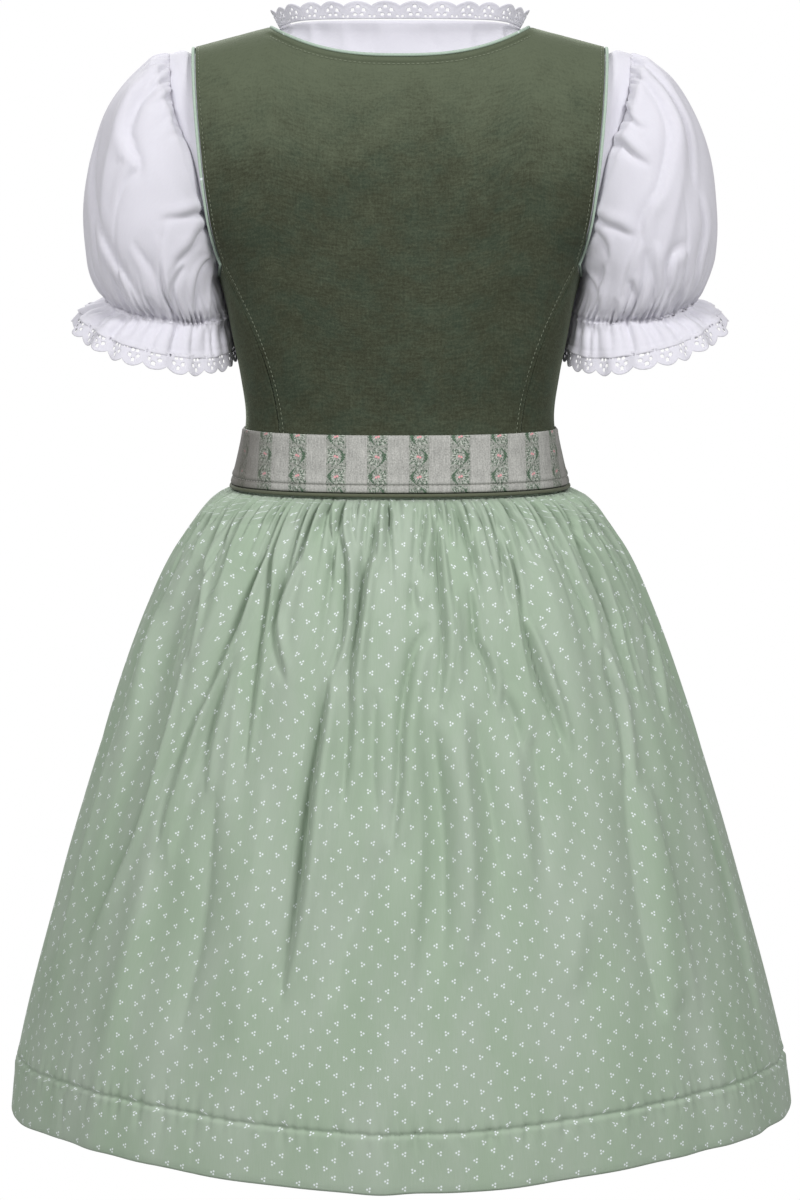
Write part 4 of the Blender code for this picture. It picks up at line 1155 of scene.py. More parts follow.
sleeve = {
    "middle": (0.160, 0.0, -0.110),
    "layer": 0.0014,
    "waves": 16,  # round the cuff
    # seed, first and last angle, pitch, depth, width and length of each set of gathers
    "cap": (41, -82, 84, 5.6, 0.0030, 1.5, 0.020),
    "cuff": (42, 0, 360, 5.6, 0.0038, 1.3, 0.019),
    "ruffle": (43, 0, 360, 12.0, 0.0024, 3.2, 0.020),
    "elasticRow": 8.0,
    "elastic": 0.0011,  # how deep it sinks, and how far the cloth stands up at its sides
    "elasticSides": 0.0004,
    "shirring": 0.0017,
    "capSeam": 0.0012,
    "softness": 0.0006,
    "laceStitch": 0.0004,
    # rings after the armhole: outermost x and z, innermost x and z, half depth, how much lower the
    # back is than the middle, and how far the cuff's waves push out
    "rings": [
        (0.1660, -0.0205, 0.1262, -0.1560, 0.0490, 0.0000, 0.0000),
        (0.1840, -0.0370, 0.1290, -0.1575, 0.0545, 0.0005, 0.0000),
        (0.1985, -0.0600, 0.1292, -0.1595, 0.0575, 0.0015, 0.0000),
        (0.2085, -0.0910, 0.1288, -0.1625, 0.0585, 0.0030, 0.0000),
        (0.2128, -0.1250, 0.1268, -0.1670, 0.0570, 0.0050, 0.0000),
        (0.2105, -0.1550, 0.1236, -0.1735, 0.0520, 0.0070, 0.0010),
        (0.2030, -0.1730, 0.1212, -0.1815, 0.0450, 0.0085, 0.0024),
        (0.1970, -0.1815, 0.1192, -0.1900, 0.0375, 0.0090, 0.0008),
        (0.1985, -0.1850, 0.1184, -0.1950, 0.0382, 0.0095, 0.0010),
        (0.2065, -0.1875, 0.1164, -0.2035, 0.0440, 0.0115, 0.0028),
        (0.2140, -0.1925, 0.1146, -0.2125, 0.0490, 0.0140, 0.0042),
    ],
    "laceTop": (0.2140, -0.1925, 0.1146, -0.2125, 0.0493, 0.0141, 0.0042),
    "laceEdge": (0.2205, -0.2010, 0.1132, -0.2225, 0.0540, 0.0165, 0.0050),
}


def besideBodice(outerX, outerZ, innerX, innerZ, *rest):  # a ring's inner side rests against the bodice
    under = 0.0050 * (1 - ease((-innerZ - 0.1560) / 0.012))  # and starts inside the armhole
    side = torsoPoint(np.array([math.pi / 2]), innerZ, bodice["layer"] + 0.0006 - under)[0, 0]
    return (outerX, outerZ, min(innerX, float(side)), innerZ, *rest)


sleeve["rings"] = [besideBodice(*ring) for ring in sleeve["rings"]]
for key in ("laceTop", "laceEdge"):
    sleeve[key] = besideBodice(*sleeve[key])
ringKeys = range(1, len(sleeve["rings"]) + 1)
ringCurves = [smoothColumn(ringKeys, column) for column in zip(*sleeve["rings"])]


def armholeRing(turn):  # from the shoulder (0) over the back to the underarm (180)
    top, low = float(shoulderZ(blouse["tip"], blouse["layer"])), blouse["underarm"] + 5 * seamGap
    z = (top + low) / 2 + (top - low) / 2 * np.cos(turn)
    angle = torsoAngle(blouseArmhole(-z), z, blouse["layer"])
    angle = np.where(np.cos(turn) < -0.9999, math.pi / 2, angle)
    points = torsoPoint(np.where(np.sin(turn) >= 0, angle, math.pi - angle), z, blouse["layer"])
    points[:, 2] += tipRise(points[:, 0], points[:, 2])
    return points


def ringPoint(values, turn):
    outerX, outerZ, innerX, innerZ, depth, lean, wave = values
    armX, armZ = (outerX - innerX) / 2, (outerZ - innerZ) / 2
    uneven = turn + 0.05 * np.sin(3 * turn + 1.0) + 0.03 * np.sin(7 * turn)
    swell = wave * (0.5 + 0.5 * np.cos(sleeve["waves"] * uneven)) * (0.62 + 0.38 * np.cos(turn))
    across = np.cos(turn)
    across = np.where(across < 0, signedPower(across, 0.80), across)  # fuller beside the bodice
    grown = (1 + swell / np.hypot(armX, armZ)) * across
    return np.stack([
        (outerX + innerX) / 2 + armX * grown,
        (depth + swell) * np.sin(turn),
        (outerZ + innerZ) / 2 + armZ * grown - lean * np.sin(turn),
    ], axis=-1)


def sleeveBase(u, v):  # the sleeve without its creases; row 0 is the armhole and 11 the lace
    turn, row = math.tau * u, 11 * v
    ring = ringPoint([curve(np.maximum(row, 1.0)) for curve in ringCurves], turn)
    share = np.clip(row, 0.0, 1.0)[:, None]
    return armholeRing(turn) * (1 - share) + ring * share


# folds of the sleeves, as the cloth hangs: height, width, then turn in degrees and row of each place
sleeveFolds = {
    "Left": [
        (-3.6, 4, 22, -0.5, 36, 1.1, 42, 1.9, 49, 2.5, 59, 2.7, 68, 2.8, 72, 3, 66, 3.5, 62, 4.4),
        (2.2, 8, 14, 0.6, 28, 1.6, 36, 2.6, 44, 3.4, 48, 4.6, 52, 5.6),
        (-2.6, 3.4, 38, -0.5, 43, 1.1, 44, 1.7, 48, 2.1, 54, 2.5),
        (-2.2, 2.8, 49, -0.5, 54, 0.6, 54, 1.5), (-1.8, 2.8, 58, -0.5, 66, 0.4, 72, 1),
        (-3, 2.8, 120, -0.2, 118, 0.7, 109, 2.5, 94, 3.7),
        (-2.2, 3.4, 128, -0.2, 127, 0.8, 123, 3.4, 112, 4.7, 101, 5.6),
        (-2.6, 3.6, 36, 4.5, 46, 4.9, 60, 5.4, 74, 6.2, 73, 7.8),
        (-2.2, 3.2, 78, 4.8, 90, 5.3, 93, 6, 91, 7.9), (1.8, 6, 96, 4.2, 100, 5.6, 100, 7.4),
        (-2.2, 3, 119, 4.7, 105, 5.9, 95, 7.9), (-2.6, 3, 146, 3.1, 130, 5.5, 114, 7.9),
        (-2.4, 3, 157, 0.6, 154, 4.9, 132, 7.8), (-2, 3.6, 15, 3.2, 24, 3.9, 34, 4.5, 40, 5.2, 43, 6.2),
        (-1.8, 3.4, 56, 6, 60, 7.9), (-1.8, 3, 84, 6.5, 84, 7.9),
    ],
    "Right": [
        (-3, 4, 32, -0.5, 40, 1.1, 43, 1.6, 48, 2.1, 54, 2.5, 65, 2.9, 78, 3.3, 91, 3.5, 99, 4.2, 108,
         4.9, 112, 6.2),
        (2, 8, 30, 1.4, 40, 2.6, 54, 3.4, 70, 4.2, 84, 5.4),
        (-2.6, 3.6, 22, -0.3, 25, 1.2, 30, 2, 36, 2.9, 44, 3.6, 49, 4),
        (-2.8, 2.8, 56, -0.5, 64, 0.4, 68, 1.2, 64, 1.8),
        (-3.2, 2.8, 80, -0.5, 82, 0.8, 82, 1.8, 77, 2.6), (-2.6, 3, 121, -0.2, 118, 2, 108, 3.4, 99, 4.1),
        (-2, 3.2, 131, 0.2, 125, 3, 124, 4.2), (-3, 3.4, 58, 5.2, 74, 5.2, 77, 5.8, 66, 6.9),
        (-2.2, 3.2, 92, 4.7, 92, 5.2, 86, 6.1, 74, 7.8),
        (-2.4, 3, 145, 0.8, 156, 4.2, 136, 6.1, 134, 7.8), (-2.2, 3, 130, 4.4, 134, 5.7, 123, 7.8),
        (-2.4, 3.4, 44, 4.4, 41, 5, 46, 5.8, 40, 7.6), (-2, 3, 106, 5.5, 97, 6.4, 88, 7.9),
        (-1.8, 3, 58, 6.4, 56, 7.9), (-1.8, 3, 112, 6.4, 108, 7.9),
    ],
    "front": [
        (-2.7, 3.3, -34, 0.9, -46, 2.2, -60, 3, -66, 3.8), (-2.2, 3.2, -98, 0.4, -106, 1.8, -96, 3.4),
        (-2.6, 3.3, -112, 0.6, -122, 2.4, -118, 4.2), (-2.2, 3.2, -26, 3.6, -34, 5, -30, 6.8),
        (-2.4, 3.2, -62, 4.2, -78, 5.2, -84, 6.6), (-1.9, 2.8, -50, 4.6, -60, 5.8, -62, 7.2),
        (-2.4, 2.8, -138, 3.6, -126, 5.4, -106, 7.4), (-1.8, 2.5, -92, 4.6, -98, 5.8, -96, 7.4),
        (-1.9, 2.6, -74, 0.4, -80, 1.6, -72, 2.8),
    ],
}


def sleeveShape(folds, turnedBy):
    cap, cuff, ruffle = (gathersFor(*sleeve[key]) for key in ("cap", "cuff", "ruffle"))

    def place(u, v):
        row, across = 11 * v, math.tau * u
        degrees = (360 * u + 180) % 360 - 180
        gathered = degrees + turnedBy
        fromElastic = row - sleeve["elasticRow"]
        above, below = np.maximum(-fromElastic, 0.0), np.maximum(fromElastic, 0.0) * 0.0095
        aboveElastic = 0.0105 * np.minimum(above, 2.0) + 0.020 * np.maximum(above - 2.0, 0.0)
        lift = sleeve["layer"] - gatherDepth(cap, gathered, row * 0.020) * (row < 5)
        lift -= gatherDepth(cuff, gathered, aboveElastic) * (fromElastic <= 0)
        lift -= gatherDepth(cuff, gathered, below * 1.6) * (fromElastic > 0)
        lift -= gatherDepth(ruffle, gathered, np.abs(below - 0.016)) * ease((fromElastic - 0.2) / 1.5)
        lift -= sleeve["elastic"] * bell(fromElastic / 0.13)
        for fromSide in (fromElastic + 0.38, fromElastic - 0.38):
            lift += sleeve["elasticSides"] * bell(fromSide / 0.10)
        lift -= sleeve["capSeam"] * bell(row / 0.12)
        lift += foldRelief(folds, degrees, row, 0.00096, 0.019)
        lift += sleeve["shirring"] * np.sin(72 * across + 2 * np.sin(7 * across)) * bell(fromElastic / 0.55)
        soft = np.sin(degrees / 17 + row * 1.3 + turnedBy) * np.sin(row * 1.9 + degrees / 31)
        lift += sleeve["softness"] * soft - sleeve["laceStitch"] * bell((row - 10.55) / 0.07)
        return lifted(sleeveBase, u, v, lift * ease(row / 0.10 + 0.25), np.array(sleeve["middle"]))

    return place


sleeveLace = {
    "scallops": 26,
    "width": 0.0128,
    "height": 0.0098,
    "lap": 0.0018,  # its upper edge lies this far under the ruffle's edge
    "wave": 0.0008,
}


def placeSleeveLace(u, rise, relief):
    turn, height = math.tau * u, sleeveLace["height"]
    top, edge = ringPoint(sleeve["laceTop"], turn), ringPoint(sleeve["laceEdge"], turn)
    away = unit((edge + top) * 0.5 - sleeve["middle"] - [0.0, 0.0, 0.06])
    out = relief - 0.0004 + sleeveLace["wave"] * np.sin(11 * turn + 2 * np.sin(2 * turn)) * rise / height
    share = (rise - sleeveLace["lap"]) / height * 1.14
    return top + (edge - top) * share[:, None] + away * out[:, None]


def makeSleeves():
    for hand, sign in sides:
        place = sleeveShape(sleeveFolds[hand] + sleeveFolds["front"], 0.0 if sign > 0 else 3.1)
        inside = np.array(sleeve["middle"]) * [sign, 1, 1]
        clothSheet(
            f"sleeve{hand}", whiteCotton, (288, 92), handed(place, sign), inside, (0.40, 0.215), "gathered",
            0.066, closed=True,
        )
        laceStrip(
            f"sleeveLace{hand}Strip", f"sleeve_lace_{hand.lower()}", sleeveLace,
            handed(placeSleeveLace, sign), inside - [0.0, 0.0, 0.08], (0.36, 0.0125), 0.0032,
        )


makeBlouseBody()
makeNeckband()
makeNeckLace()
makeSleeves()
print("blouse made")


skirt = {
    "top": -0.3108,
    "hem": -0.7420,
    "hemWave": (0.002, 0.005),
    "wall": 0.0010,  # the cloth's outer face lies this far from the form
    "cut": 0.775,
    "gathers": 80,
    "gatherHeight": 0.0011,
    "hemDepth": 0.0375,
    # creases that start above the first height, in mm, run on up to the second one, under the band
    "underBand": (-336, -299),
    "sideLap": 0.0035,  # each half reaches this far past the side seam, in radians
    "spring": 0.0036,  # how far the cloth springs out below the band
    "underBandDepth": 0.0050,  # nothing sinks deeper there, so that nothing gapes under the band
    "swell": 0.0009,
    "hemGroove": 0.0020,
    "hemStep": 0.0005,  # the turned-up hem stands out above its stitches
    "pucker": 0.0007,
    "hemSwell": 0.0014,
    "hemEdge": 0.0006,
    # seed, first and last angle, pitch, depth, width and length of each set of gathers
    "pleats": [(7, -90, 270, 3.7, 0.0085, 0.56, 0.034), (8, -90, 270, 2.2, 0.0034, 0.44, 0.010)],
    "hemTucks": (11, -90, 270, 6.5, 0.0020, 0.60, 0.011),
    # long folds behind: start and end angle, start and end height, how far out, width in degrees
    "back": [
        (44, 50, -0.320, -0.560, 0.0040, 5.0), (20, 22, -0.320, -0.460, 0.0030, 4.0),
        (1, 3, -0.320, -0.430, 0.0026, 3.5), (-20, -22, -0.320, -0.440, 0.0030, 3.5),
        (-36, -38, -0.320, -0.480, 0.0040, 5.0), (-66, -68, -0.320, -0.600, 0.0040, 5.0),
        (66, 68, -0.330, -0.640, 0.0045, 5.0),
    ],
    "front": [
        (172, 166, -0.318, -0.560, 0.0045, 4.5), (158, 152, -0.316, -0.450, 0.0040, 3.5),
        (143, 130, -0.320, -0.640, 0.0055, 4.5), (124, 120, -0.318, -0.470, 0.0040, 4.0),
        (108, 103, -0.325, -0.660, 0.0055, 4.5), (185, 190, -0.318, -0.470, 0.0040, 3.5),
        (199, 204, -0.316, -0.620, 0.0050, 4.5), (216, 226, -0.320, -0.520, 0.0045, 4.0),
        (233, 240, -0.318, -0.650, 0.0055, 4.5), (250, 255, -0.322, -0.560, 0.0050, 4.0),
    ],
    # narrow creases behind: height, width, then angle and height of each place
    "backCreases": [
        (-8, 3.6, 59.2, -322, 57.2, -347, 53.5, -371, 50.8, -392, 49.8, -416),
        (-8.7, 3.8, 51.8, -407, 51.2, -448, 51.8, -476, 52.5, -503, 54, -530, 56.5, -557, 58.8, -581,
         61.5, -605),
        (-4.9, 3, 49, -312, 49.2, -325, 48.5, -343, 47.2, -362, 50, -378),
        (-4.1, 2.4, 45, -311, 45.2, -321, 44.8, -338),
        (-9, 3.6, 35.8, -347, 37.2, -370, 38.5, -391, 40, -410, 42, -434),
        (-5.2, 3.6, 39.5, -415, 41.8, -434, 43.5, -453, 44.8, -479, 46.2, -509, 46.2, -535),
        (-4.9, 3.6, 37.5, -418, 39, -448, 39.2, -470, 37.8, -499),
        (-7.2, 3.2, 33, -325, 33.2, -346, 31.5, -369, 31.2, -388, 31, -409, 30.8, -434, 30.2, -484),
        (-7.8, 3, 24, -324, 25.2, -344, 27.2, -362, 28.2, -377, 28, -392),
        (-4.9, 3.2, 28.2, -381, 27.8, -395, 25.5, -411, 23.2, -423),
        (-4.9, 2.4, 18.8, -317, 17, -335, 15.5, -361),
        (-6.4, 3, 14.8, -328, 12.8, -347, 12, -372, 12.2, -394, 13.5, -411, 15.5, -428),
        (-12.3, 4.4, 14.5, -422, 15.5, -454, 16.5, -488, 17, -528, 17.5, -563, 18.5, -598, 19.2, -625),
        (-9, 3.4, 6.2, -323, 6.2, -336, 7.8, -355, 8.5, -375, 9.2, -397, 9.8, -417, 9.8, -437),
        (-4.6, 4.4, 9.8, -428, 9.8, -459, 10.2, -484, 10.5, -504),
        (-3.8, 2.6, 12.8, -314, 12, -326, 10.5, -338), (-4.3, 2.8, 0.2, -311, 2, -321, 2.8, -330),
        (-7.2, 3.2, -6, -318, -4.8, -335, -4.5, -347, -5, -358), (-3.2, 4, -3, -362, -3, -372, -4, -381),
        (-7.2, 4.4, -6.5, -388, -3, -404, -1.2, -428, -0.2, -453, 0.2, -487, 1, -512, 1.5, -529),
        (-7.2, 3.2, -9.5, -318, -8.8, -344, -8.8, -369, -9, -387, -8.8, -406, -7.8, -428, -6.8, -442),
        (-7.2, 2.6, -13.2, -309, -12.2, -323, -12.2, -342),
        (-7.5, 3.2, -15, -314, -16, -328, -17.5, -345, -17.2, -360),
        (-5.2, 3.2, -15.8, -363, -16.2, -382, -16.2, -397, -18, -412, -18.8, -429, -17.8, -443),
        (-5.2, 3.2, -27.2, -313, -26.5, -330, -25.5, -348, -24.5, -367, -24.8, -377),
        (-4.3, 2.8, -27.2, -325, -27.8, -339, -27.8, -355, -27.8, -373, -27.5, -392),
        (-8.1, 3.6, -27.8, -387, -29, -408, -30.2, -431, -31.5, -447, -32.8, -470),
        (-5.8, 4.8, -44.2, -317, -44.8, -331, -45.5, -344, -45.5, -363, -47.2, -384, -46.5, -405),
        (-8.7, 3.2, -58, -316, -54.2, -337, -53.8, -360, -54.8, -386, -54.2, -404, -54.5, -420, -55,
         -447),
        (-6.7, 4.4, -48.8, -409, -48.5, -429, -48.8, -442, -47.8, -470, -46, -499),
        (-6.2, 9, -46.2, -486, -44.8, -524, -44.2, -556, -43.8, -595, -44, -634, -44.5, -644),
        (-5.8, 4, -68, -396, -66.8, -414, -64, -440, -64, -460),
        (-6.7, 8.5, -6.5, -448, -7.2, -481, -7.8, -515, -7.8, -546, -7.5, -578, -6.5, -606),
        (-4.3, 8, -15, -448, -16, -482, -17, -516, -17, -554),
        (-3.4, 7, -26.2, -458, -26.2, -487, -26, -518, -25.8, -550),
        (-5.3, 10, 35.5, -495, 34.8, -530, 34.2, -562, 34.2, -594, 35, -629, 35.5, -655),
        (-4.3, 11, 1.5, -527, 4.8, -546, 7.5, -571, 9.5, -600, 10.5, -628),
        (-4.3, 7, 4.8, -428, 5.2, -453, 5, -481, 4, -506), (-4.3, 5, -21, -429, -22.8, -448, -23.5, -467),
        (-5.5, 4, 73, -325, 76, -380, 74, -440), (-4.8, 4.6, 70, -470, 71, -560, 73, -660),
        (-5.5, 4.2, 84, -322, 86, -400, 83, -480), (-4.8, 5.2, 82, -520, 80, -600, 81, -680),
        (-5.5, 4, -72, -322, -75, -380, -74, -450), (-4.8, 4.8, -70, -500, -72, -590, -71, -670),
        (-5.2, 4.2, -84, -324, -82, -400, -85, -500), (-5.6, 3, 80, -311, 77, -335, 74, -362),
        (-5.6, 3, 69, -311, 66, -333, 64, -352), (-5.4, 2.8, 63, -311, 60.5, -330),
        (-5.2, 2.8, 54.5, -311, 53, -330, 51.5, -345), (-5.2, 2.8, 40, -311, 41.5, -330),
        (-4.2, 2.8, 29, -311, 29.5, -328), (-4.2, 2.8, 20, -311, 21, -326),
        (-4.2, 2.8, -21, -311, -22, -328), (-5.2, 3, -32, -311, -33, -330, -34, -350),
        (-4.6, 2.8, -38, -311, -38.5, -326), (-4.8, 2.8, -50, -311, -50, -328, -51, -345),
        (-5.8, 3, -68, -311, -65, -325, -63, -345), (-4.8, 3, -78, -312, -76, -335),
    ],
    # soft ridges behind, as above
    "backRidges": [
        (3, 3, -26.2, -328, -26.5, -348, -26.5, -373, -26.2, -398, -27.2, -430),
        (3.4, 2.8, -54.8, -325, -55.2, -347, -56.8, -368, -59, -387, -58.5, -412, -59, -437),
        (3, 5, 39.5, -426, 41.2, -447, 42.2, -472, 42.8, -501, 43.5, -527, 43, -549),
        (4, 13, 69.2, -382, 65.5, -414, 62.5, -459, 61.8, -505, 62.8, -546, 63.5, -580),
        (3, 11, 25.8, -486, 25.2, -530, 25, -575, 25.2, -625, 26, -654),
        (3.4, 10, 12.2, -472, 12.2, -509, 12.8, -547, 13, -584, 13.5, -622),
        (3.4, 8, -3.8, -459, -3.8, -496, -3.5, -540, -2.5, -583, -1.8, -621),
        (3, 9, -12.2, -434, -12, -472, -12.2, -516, -12, -559, -12, -587),
        (2.6, 9, -22, -461, -22, -498, -22.5, -536, -22.5, -561),
        (4.4, 12, -51.8, -495, -51.2, -533, -51.5, -573, -52, -613, -51.8, -655),
        (3.4, 12, 47, -545, 47.2, -584, 48.2, -623, 49.5, -670),
        (2.4, 12, -31.8, -564, -29.2, -601, -27, -626),
        (2.8, 7, 34.5, -400, 34, -438, 33.2, -476, 33.2, -501),
        (2.6, 6, -12.2, -366, -12.2, -397, -11.8, -428), (2.6, 6, 7.2, -384, 7.5, -422, 7.2, -459),
    ],
    "frontCreases": [
        (-3.4, 4.5, 103, -330, 99, -470), (-3.4, 5, 98, -500, 95, -680),
        (-3.2, 4.5, 257, -325, 262, -480), (-3.4, 5, 263, -520, 267, -690),
        (-3.2, 4.5, 113, -320, 110, -420), (-3.2, 4.5, 246, -320, 249, -430),
        (-2.6, 6, 196, -380, 198, -560), (-2.6, 6, 150, -380, 147, -590), (-2.8, 6, 222, -360, 228, -560),
    ],
}


def underBand(line):  # a crease that starts close below the band runs on under it
    height, width, angle, z, nextAngle, nextZ, *rest = line
    lowest, top = skirt["underBand"]
    if z < lowest:
        return line
    start = angle + (angle - nextAngle) / (z - nextZ) * (top - z) * 0.5
    return (height, width, start, top, *line[2:])


skirtPleats = [gather for row in skirt["pleats"] for gather in gathersFor(*row)]
hemTucks = gathersFor(*skirt["hemTucks"])
skirtCreases = [underBand(line) for line in skirt["backCreases"]]
skirtCreases += skirt["backRidges"] + skirt["frontCreases"]
skirtRows = denser((0.0, 0.20, 1.5), (0.913, 0.010, 5.0), (1.0, 0.004, 3.0))


def foldsOut(folds, degrees, z):
    total = np.zeros(np.broadcast(degrees, z).shape)
    for topAngle, lowAngle, topZ, lowZ, height, width in folds:
        along = np.clip((topZ - z) / (topZ - lowZ), 0.0, 1.0)
        centre = topAngle + (lowAngle - topAngle) * along
        total += height * np.sin(math.pi * along ** 0.6) * bell((degrees - centre) / width)
    return total


def gatherRise(angle, below):  # the form's own even gathers below the waist seam
    count, height = skirt["gathers"], skirt["gatherHeight"]
    fine = height * (1 + below / 0.02) * np.exp(-below / 0.032)
    paired = height * 1.2 * ease(below / 0.05) * np.exp(-below / 0.09)
    return 0.35 * (fine * np.cos(count * angle) + paired * np.cos(count / 2 * angle + 0.6))


def skirtPoint(angle, z, out, folds):
    x, y = sectionXy(skirtCurves, angle, z, 0.0)
    half, depth = skirtCurves["half"](-z), skirtCurves["back"](-z)
    out = out + foldsOut(folds, np.degrees(angle), z)
    normal = unit(np.stack([x / half ** 2, y / depth ** 2], axis=1)) * out[:, None]
    return np.stack([x + normal[:, 0], y + normal[:, 1], z + 0 * x], axis=1)


def hemZ(angle):
    shallow, deep = skirt["hemWave"]
    return skirt["hem"] - shallow * np.cos(2 * angle) + deep * np.sin(2 * angle) ** 2


def unevenWave(angle, count, wander, wanderCount, more=0.0):  # waves round the skirt, unevenly wide
    return np.sin(count * angle + wander * np.sin(wanderCount * angle) + more)


def skirtRelief(angle, z):
    below, degrees = np.maximum(skirt["top"] - z, 0.0), np.degrees(angle)
    aboveHem = z - hemZ(angle)
    fromLine = aboveHem - skirt["hemDepth"]
    out = skirt["wall"] + skirt["spring"] * np.exp(-below / 0.05) * ease(below / 0.004)
    out = out + gatherRise(angle, below) - gatherDepth(skirtPleats, degrees, below)
    out += foldRelief(skirtCreases, degrees, z / mm, -0.0034, mm)
    out = np.maximum(out, -skirt["underBandDepth"] - 0.45 * below)
    slow = unevenWave(angle, 18, 1.5, 5) + 0.7 * unevenWave(angle, 31, 1.2, 7, 9 * z)
    out += skirt["swell"] * slow * ease(below / 0.12)
    out -= skirt["hemGroove"] * np.exp(-np.abs(fromLine / 0.0012) ** 1.4)
    out += skirt["hemStep"] * (1 - ease(fromLine / 0.0015))
    pucker = unevenWave(angle, 150, 2.2, 23) + 0.6 * unevenWave(angle, 271, 2.0, 40)
    out += skirt["pucker"] * pucker * bell(fromLine / 0.007)
    out -= gatherDepth(hemTucks, degrees, np.abs(fromLine + 0.004))
    out += skirt["hemSwell"] * unevenWave(angle, 12, 1.4, 4) * bell(aboveHem / 0.035)
    return out - skirt["hemEdge"] * (1 - ease(aboveHem / 0.0015))


def makeSkirt():
    lap = skirt["sideLap"]
    for where, start, grid, raised in (
        ("Back", -math.pi / 2, (440, 110), 0.0004), ("Front", math.pi / 2, (204, 80), -0.0004)
    ):
        folds = skirt[where.lower()]

        def place(u, v, start=start, folds=folds, raised=raised):
            angle = start - lap + (math.pi + 2 * lap) * u
            z = skirt["top"] + (hemZ(angle) - skirt["top"]) * skirtRows(v)
            beside = 1 - ease(np.minimum(u, 1 - u) / 0.012)
            return skirtPoint(angle, z, skirtRelief(angle, z) + raised * beside, folds)

        def hidden(u, v, start=start):
            below = (skirt["top"] - skirt["hem"]) * skirtRows(v)
            return gatherDepth(skirtPleats, np.degrees(start + math.pi * u), below)

        clothSheet(
            f"skirt{where}", sageCotton, grid, place, (0, 0, -0.5), (skirt["cut"], 0.49), "gathered",
            width=skirt["cut"], hidden=hidden,
        )
        angle = np.linspace(start + 0.01, start + math.pi - 0.01, 420)
        z = hemZ(angle) + skirt["hemDepth"]
        line = skirtPoint(angle, z, skirtRelief(angle, z) + 0.0001, folds)
        stitchRows(f"hemStitches{where}", [line], skirtThread, "sage_cotton")


makeSkirt()
print("skirt made")


apron = {
    "top": -0.3072,
    "hem": -0.7000,
    "half": 74.0,  # degrees from the centre front to the side edge
    "clearance": 0.0050,
    "wall": 0.0018,
    "cut": 0.60,
    "metresPerDegree": 0.0034,
    # seed, first and last angle, pitch, depth, width and length of its gathers
    "gathers": (9, 106.0, 254.0, 5.2, 0.0016, 1.25, 0.050),
    "sideHem": (0.0110, 0.0004),  # stitches from the edge, and how deep their groove is
    "lowHem": (0.0450, 0.0005),
    "hemPucker": 0.0005,
    "besideSkirt": (0.012, 0.045, 0.0017),  # its sides lie against the skirt: from, reach, clearance
    # height, width, then angle and z of both ends
    "creases": [
        (-1.2, 5, 160, -330, 157, -430), (1.4, 6, 203, -340, 207, -470),
        (-1.3, 5.5, 184, -330, 186, -420), (1.3, 5.5, 139, -340, 135, -480),
        (-1.2, 6, 218, -380, 224, -540), (1.2, 6, 170, -450, 168, -600),
    ],
}
apronGathers = gathersFor(*apron["gathers"])
band = {
    "top": -0.2690,
    "bottom": -0.3065,
    "out": 0.0051,
    "thickness": 0.0013,
    "stitch": 0.0048,  # from the lower edge
    "groove": 0.0010,
    "ridge": 0.0005,
    "pucker": 0.00018,
    "edges": (0.0009, 0.0008),  # how deep the upper and lower edges roll
    "printShift": (-0.0012, 0.008),
    # small waves: height, width, then angle and share of the way down of both ends
    "creases": [
        (0.5, 5, -62, 0.1, -57, 0.8), (-0.5, 4.5, -38, 0.1, -41, 0.9), (0.5, 5, -8, 0.2, -3, 0.9),
        (-0.4, 5, 17, 0.1, 14, 0.8), (0.6, 4.5, 44, 0.1, 47, 0.9), (-0.5, 4.5, 66, 0.1, 70, 0.8),
        (0.5, 5, 96, 0.1, 99, 0.9), (-0.5, 5, 128, 0.2, 124, 0.9), (0.5, 5, -98, 0.1, -94, 0.9),
        (-0.5, 5, -130, 0.2, -133, 0.9),
    ],
}


def apronLift(angle, z):
    degrees = np.degrees(angle)
    fromSide = (apron["half"] - np.abs(degrees - 180)) * apron["metresPerDegree"]
    aboveHem = z - apron["hem"]
    out = apron["clearance"] + apron["wall"] - gatherDepth(apronGathers, degrees, apron["top"] - z)
    out += foldRelief(apron["creases"], degrees, z / mm, 0.0034, mm)
    out += apron["hemPucker"] * bell((aboveHem - 0.030) / 0.02) * np.sin(degrees / 3.1)
    start, reach, clearance = apron["besideSkirt"]
    close = 1 - ease((fromSide - start) / reach)
    out = out * (1 - close) + (skirtRelief(angle, z) + clearance) * close
    for distance, (hem, groove) in ((fromSide, apron["sideHem"]), (aboveHem, apron["lowHem"])):
        out -= groove * bell((distance - hem) / 0.0014)
    return out


def makeApronPanel():
    half = math.radians(apron["half"])

    def down(v):  # its rows lie closer together towards the top
        return (apron["hem"] - apron["top"]) * (0.6 * v + 0.4 * v * v)

    def onApron(angle, z, out=0.0):
        return skirtPoint(angle, z, apronLift(angle, z) + out, skirt["front"])

    def place(u, v):
        return onApron(math.pi - half + 2 * half * u, apron["top"] + down(v))

    def hidden(u, v):
        return gatherDepth(apronGathers, np.degrees(math.pi - half + 2 * half * u), -down(v))

    clothSheet(
        "apronPanel", apronCloth, (200, 84), place, (0, 0, -0.5), (apron["cut"], 0.44), "gathered",
        width=apron["cut"], hidden=hidden,
    )
    angle = np.linspace(math.pi - half + 0.04, math.pi + half - 0.04, 300)
    rows = [onApron(angle, np.full(300, apron["hem"] + apron["lowHem"][0]), 0.0001)]
    z = np.linspace(apron["top"] - 0.004, apron["hem"] + 0.003, 200)
    aside = half - math.radians(apron["sideHem"][0] / apron["metresPerDegree"])
    for sign in (1, -1):
        rows.append(onApron(np.full(200, math.pi + sign * aside), z, 0.0001))
    stitchRows("apronStitches", rows, bandThread, "striped_apron_cloth")


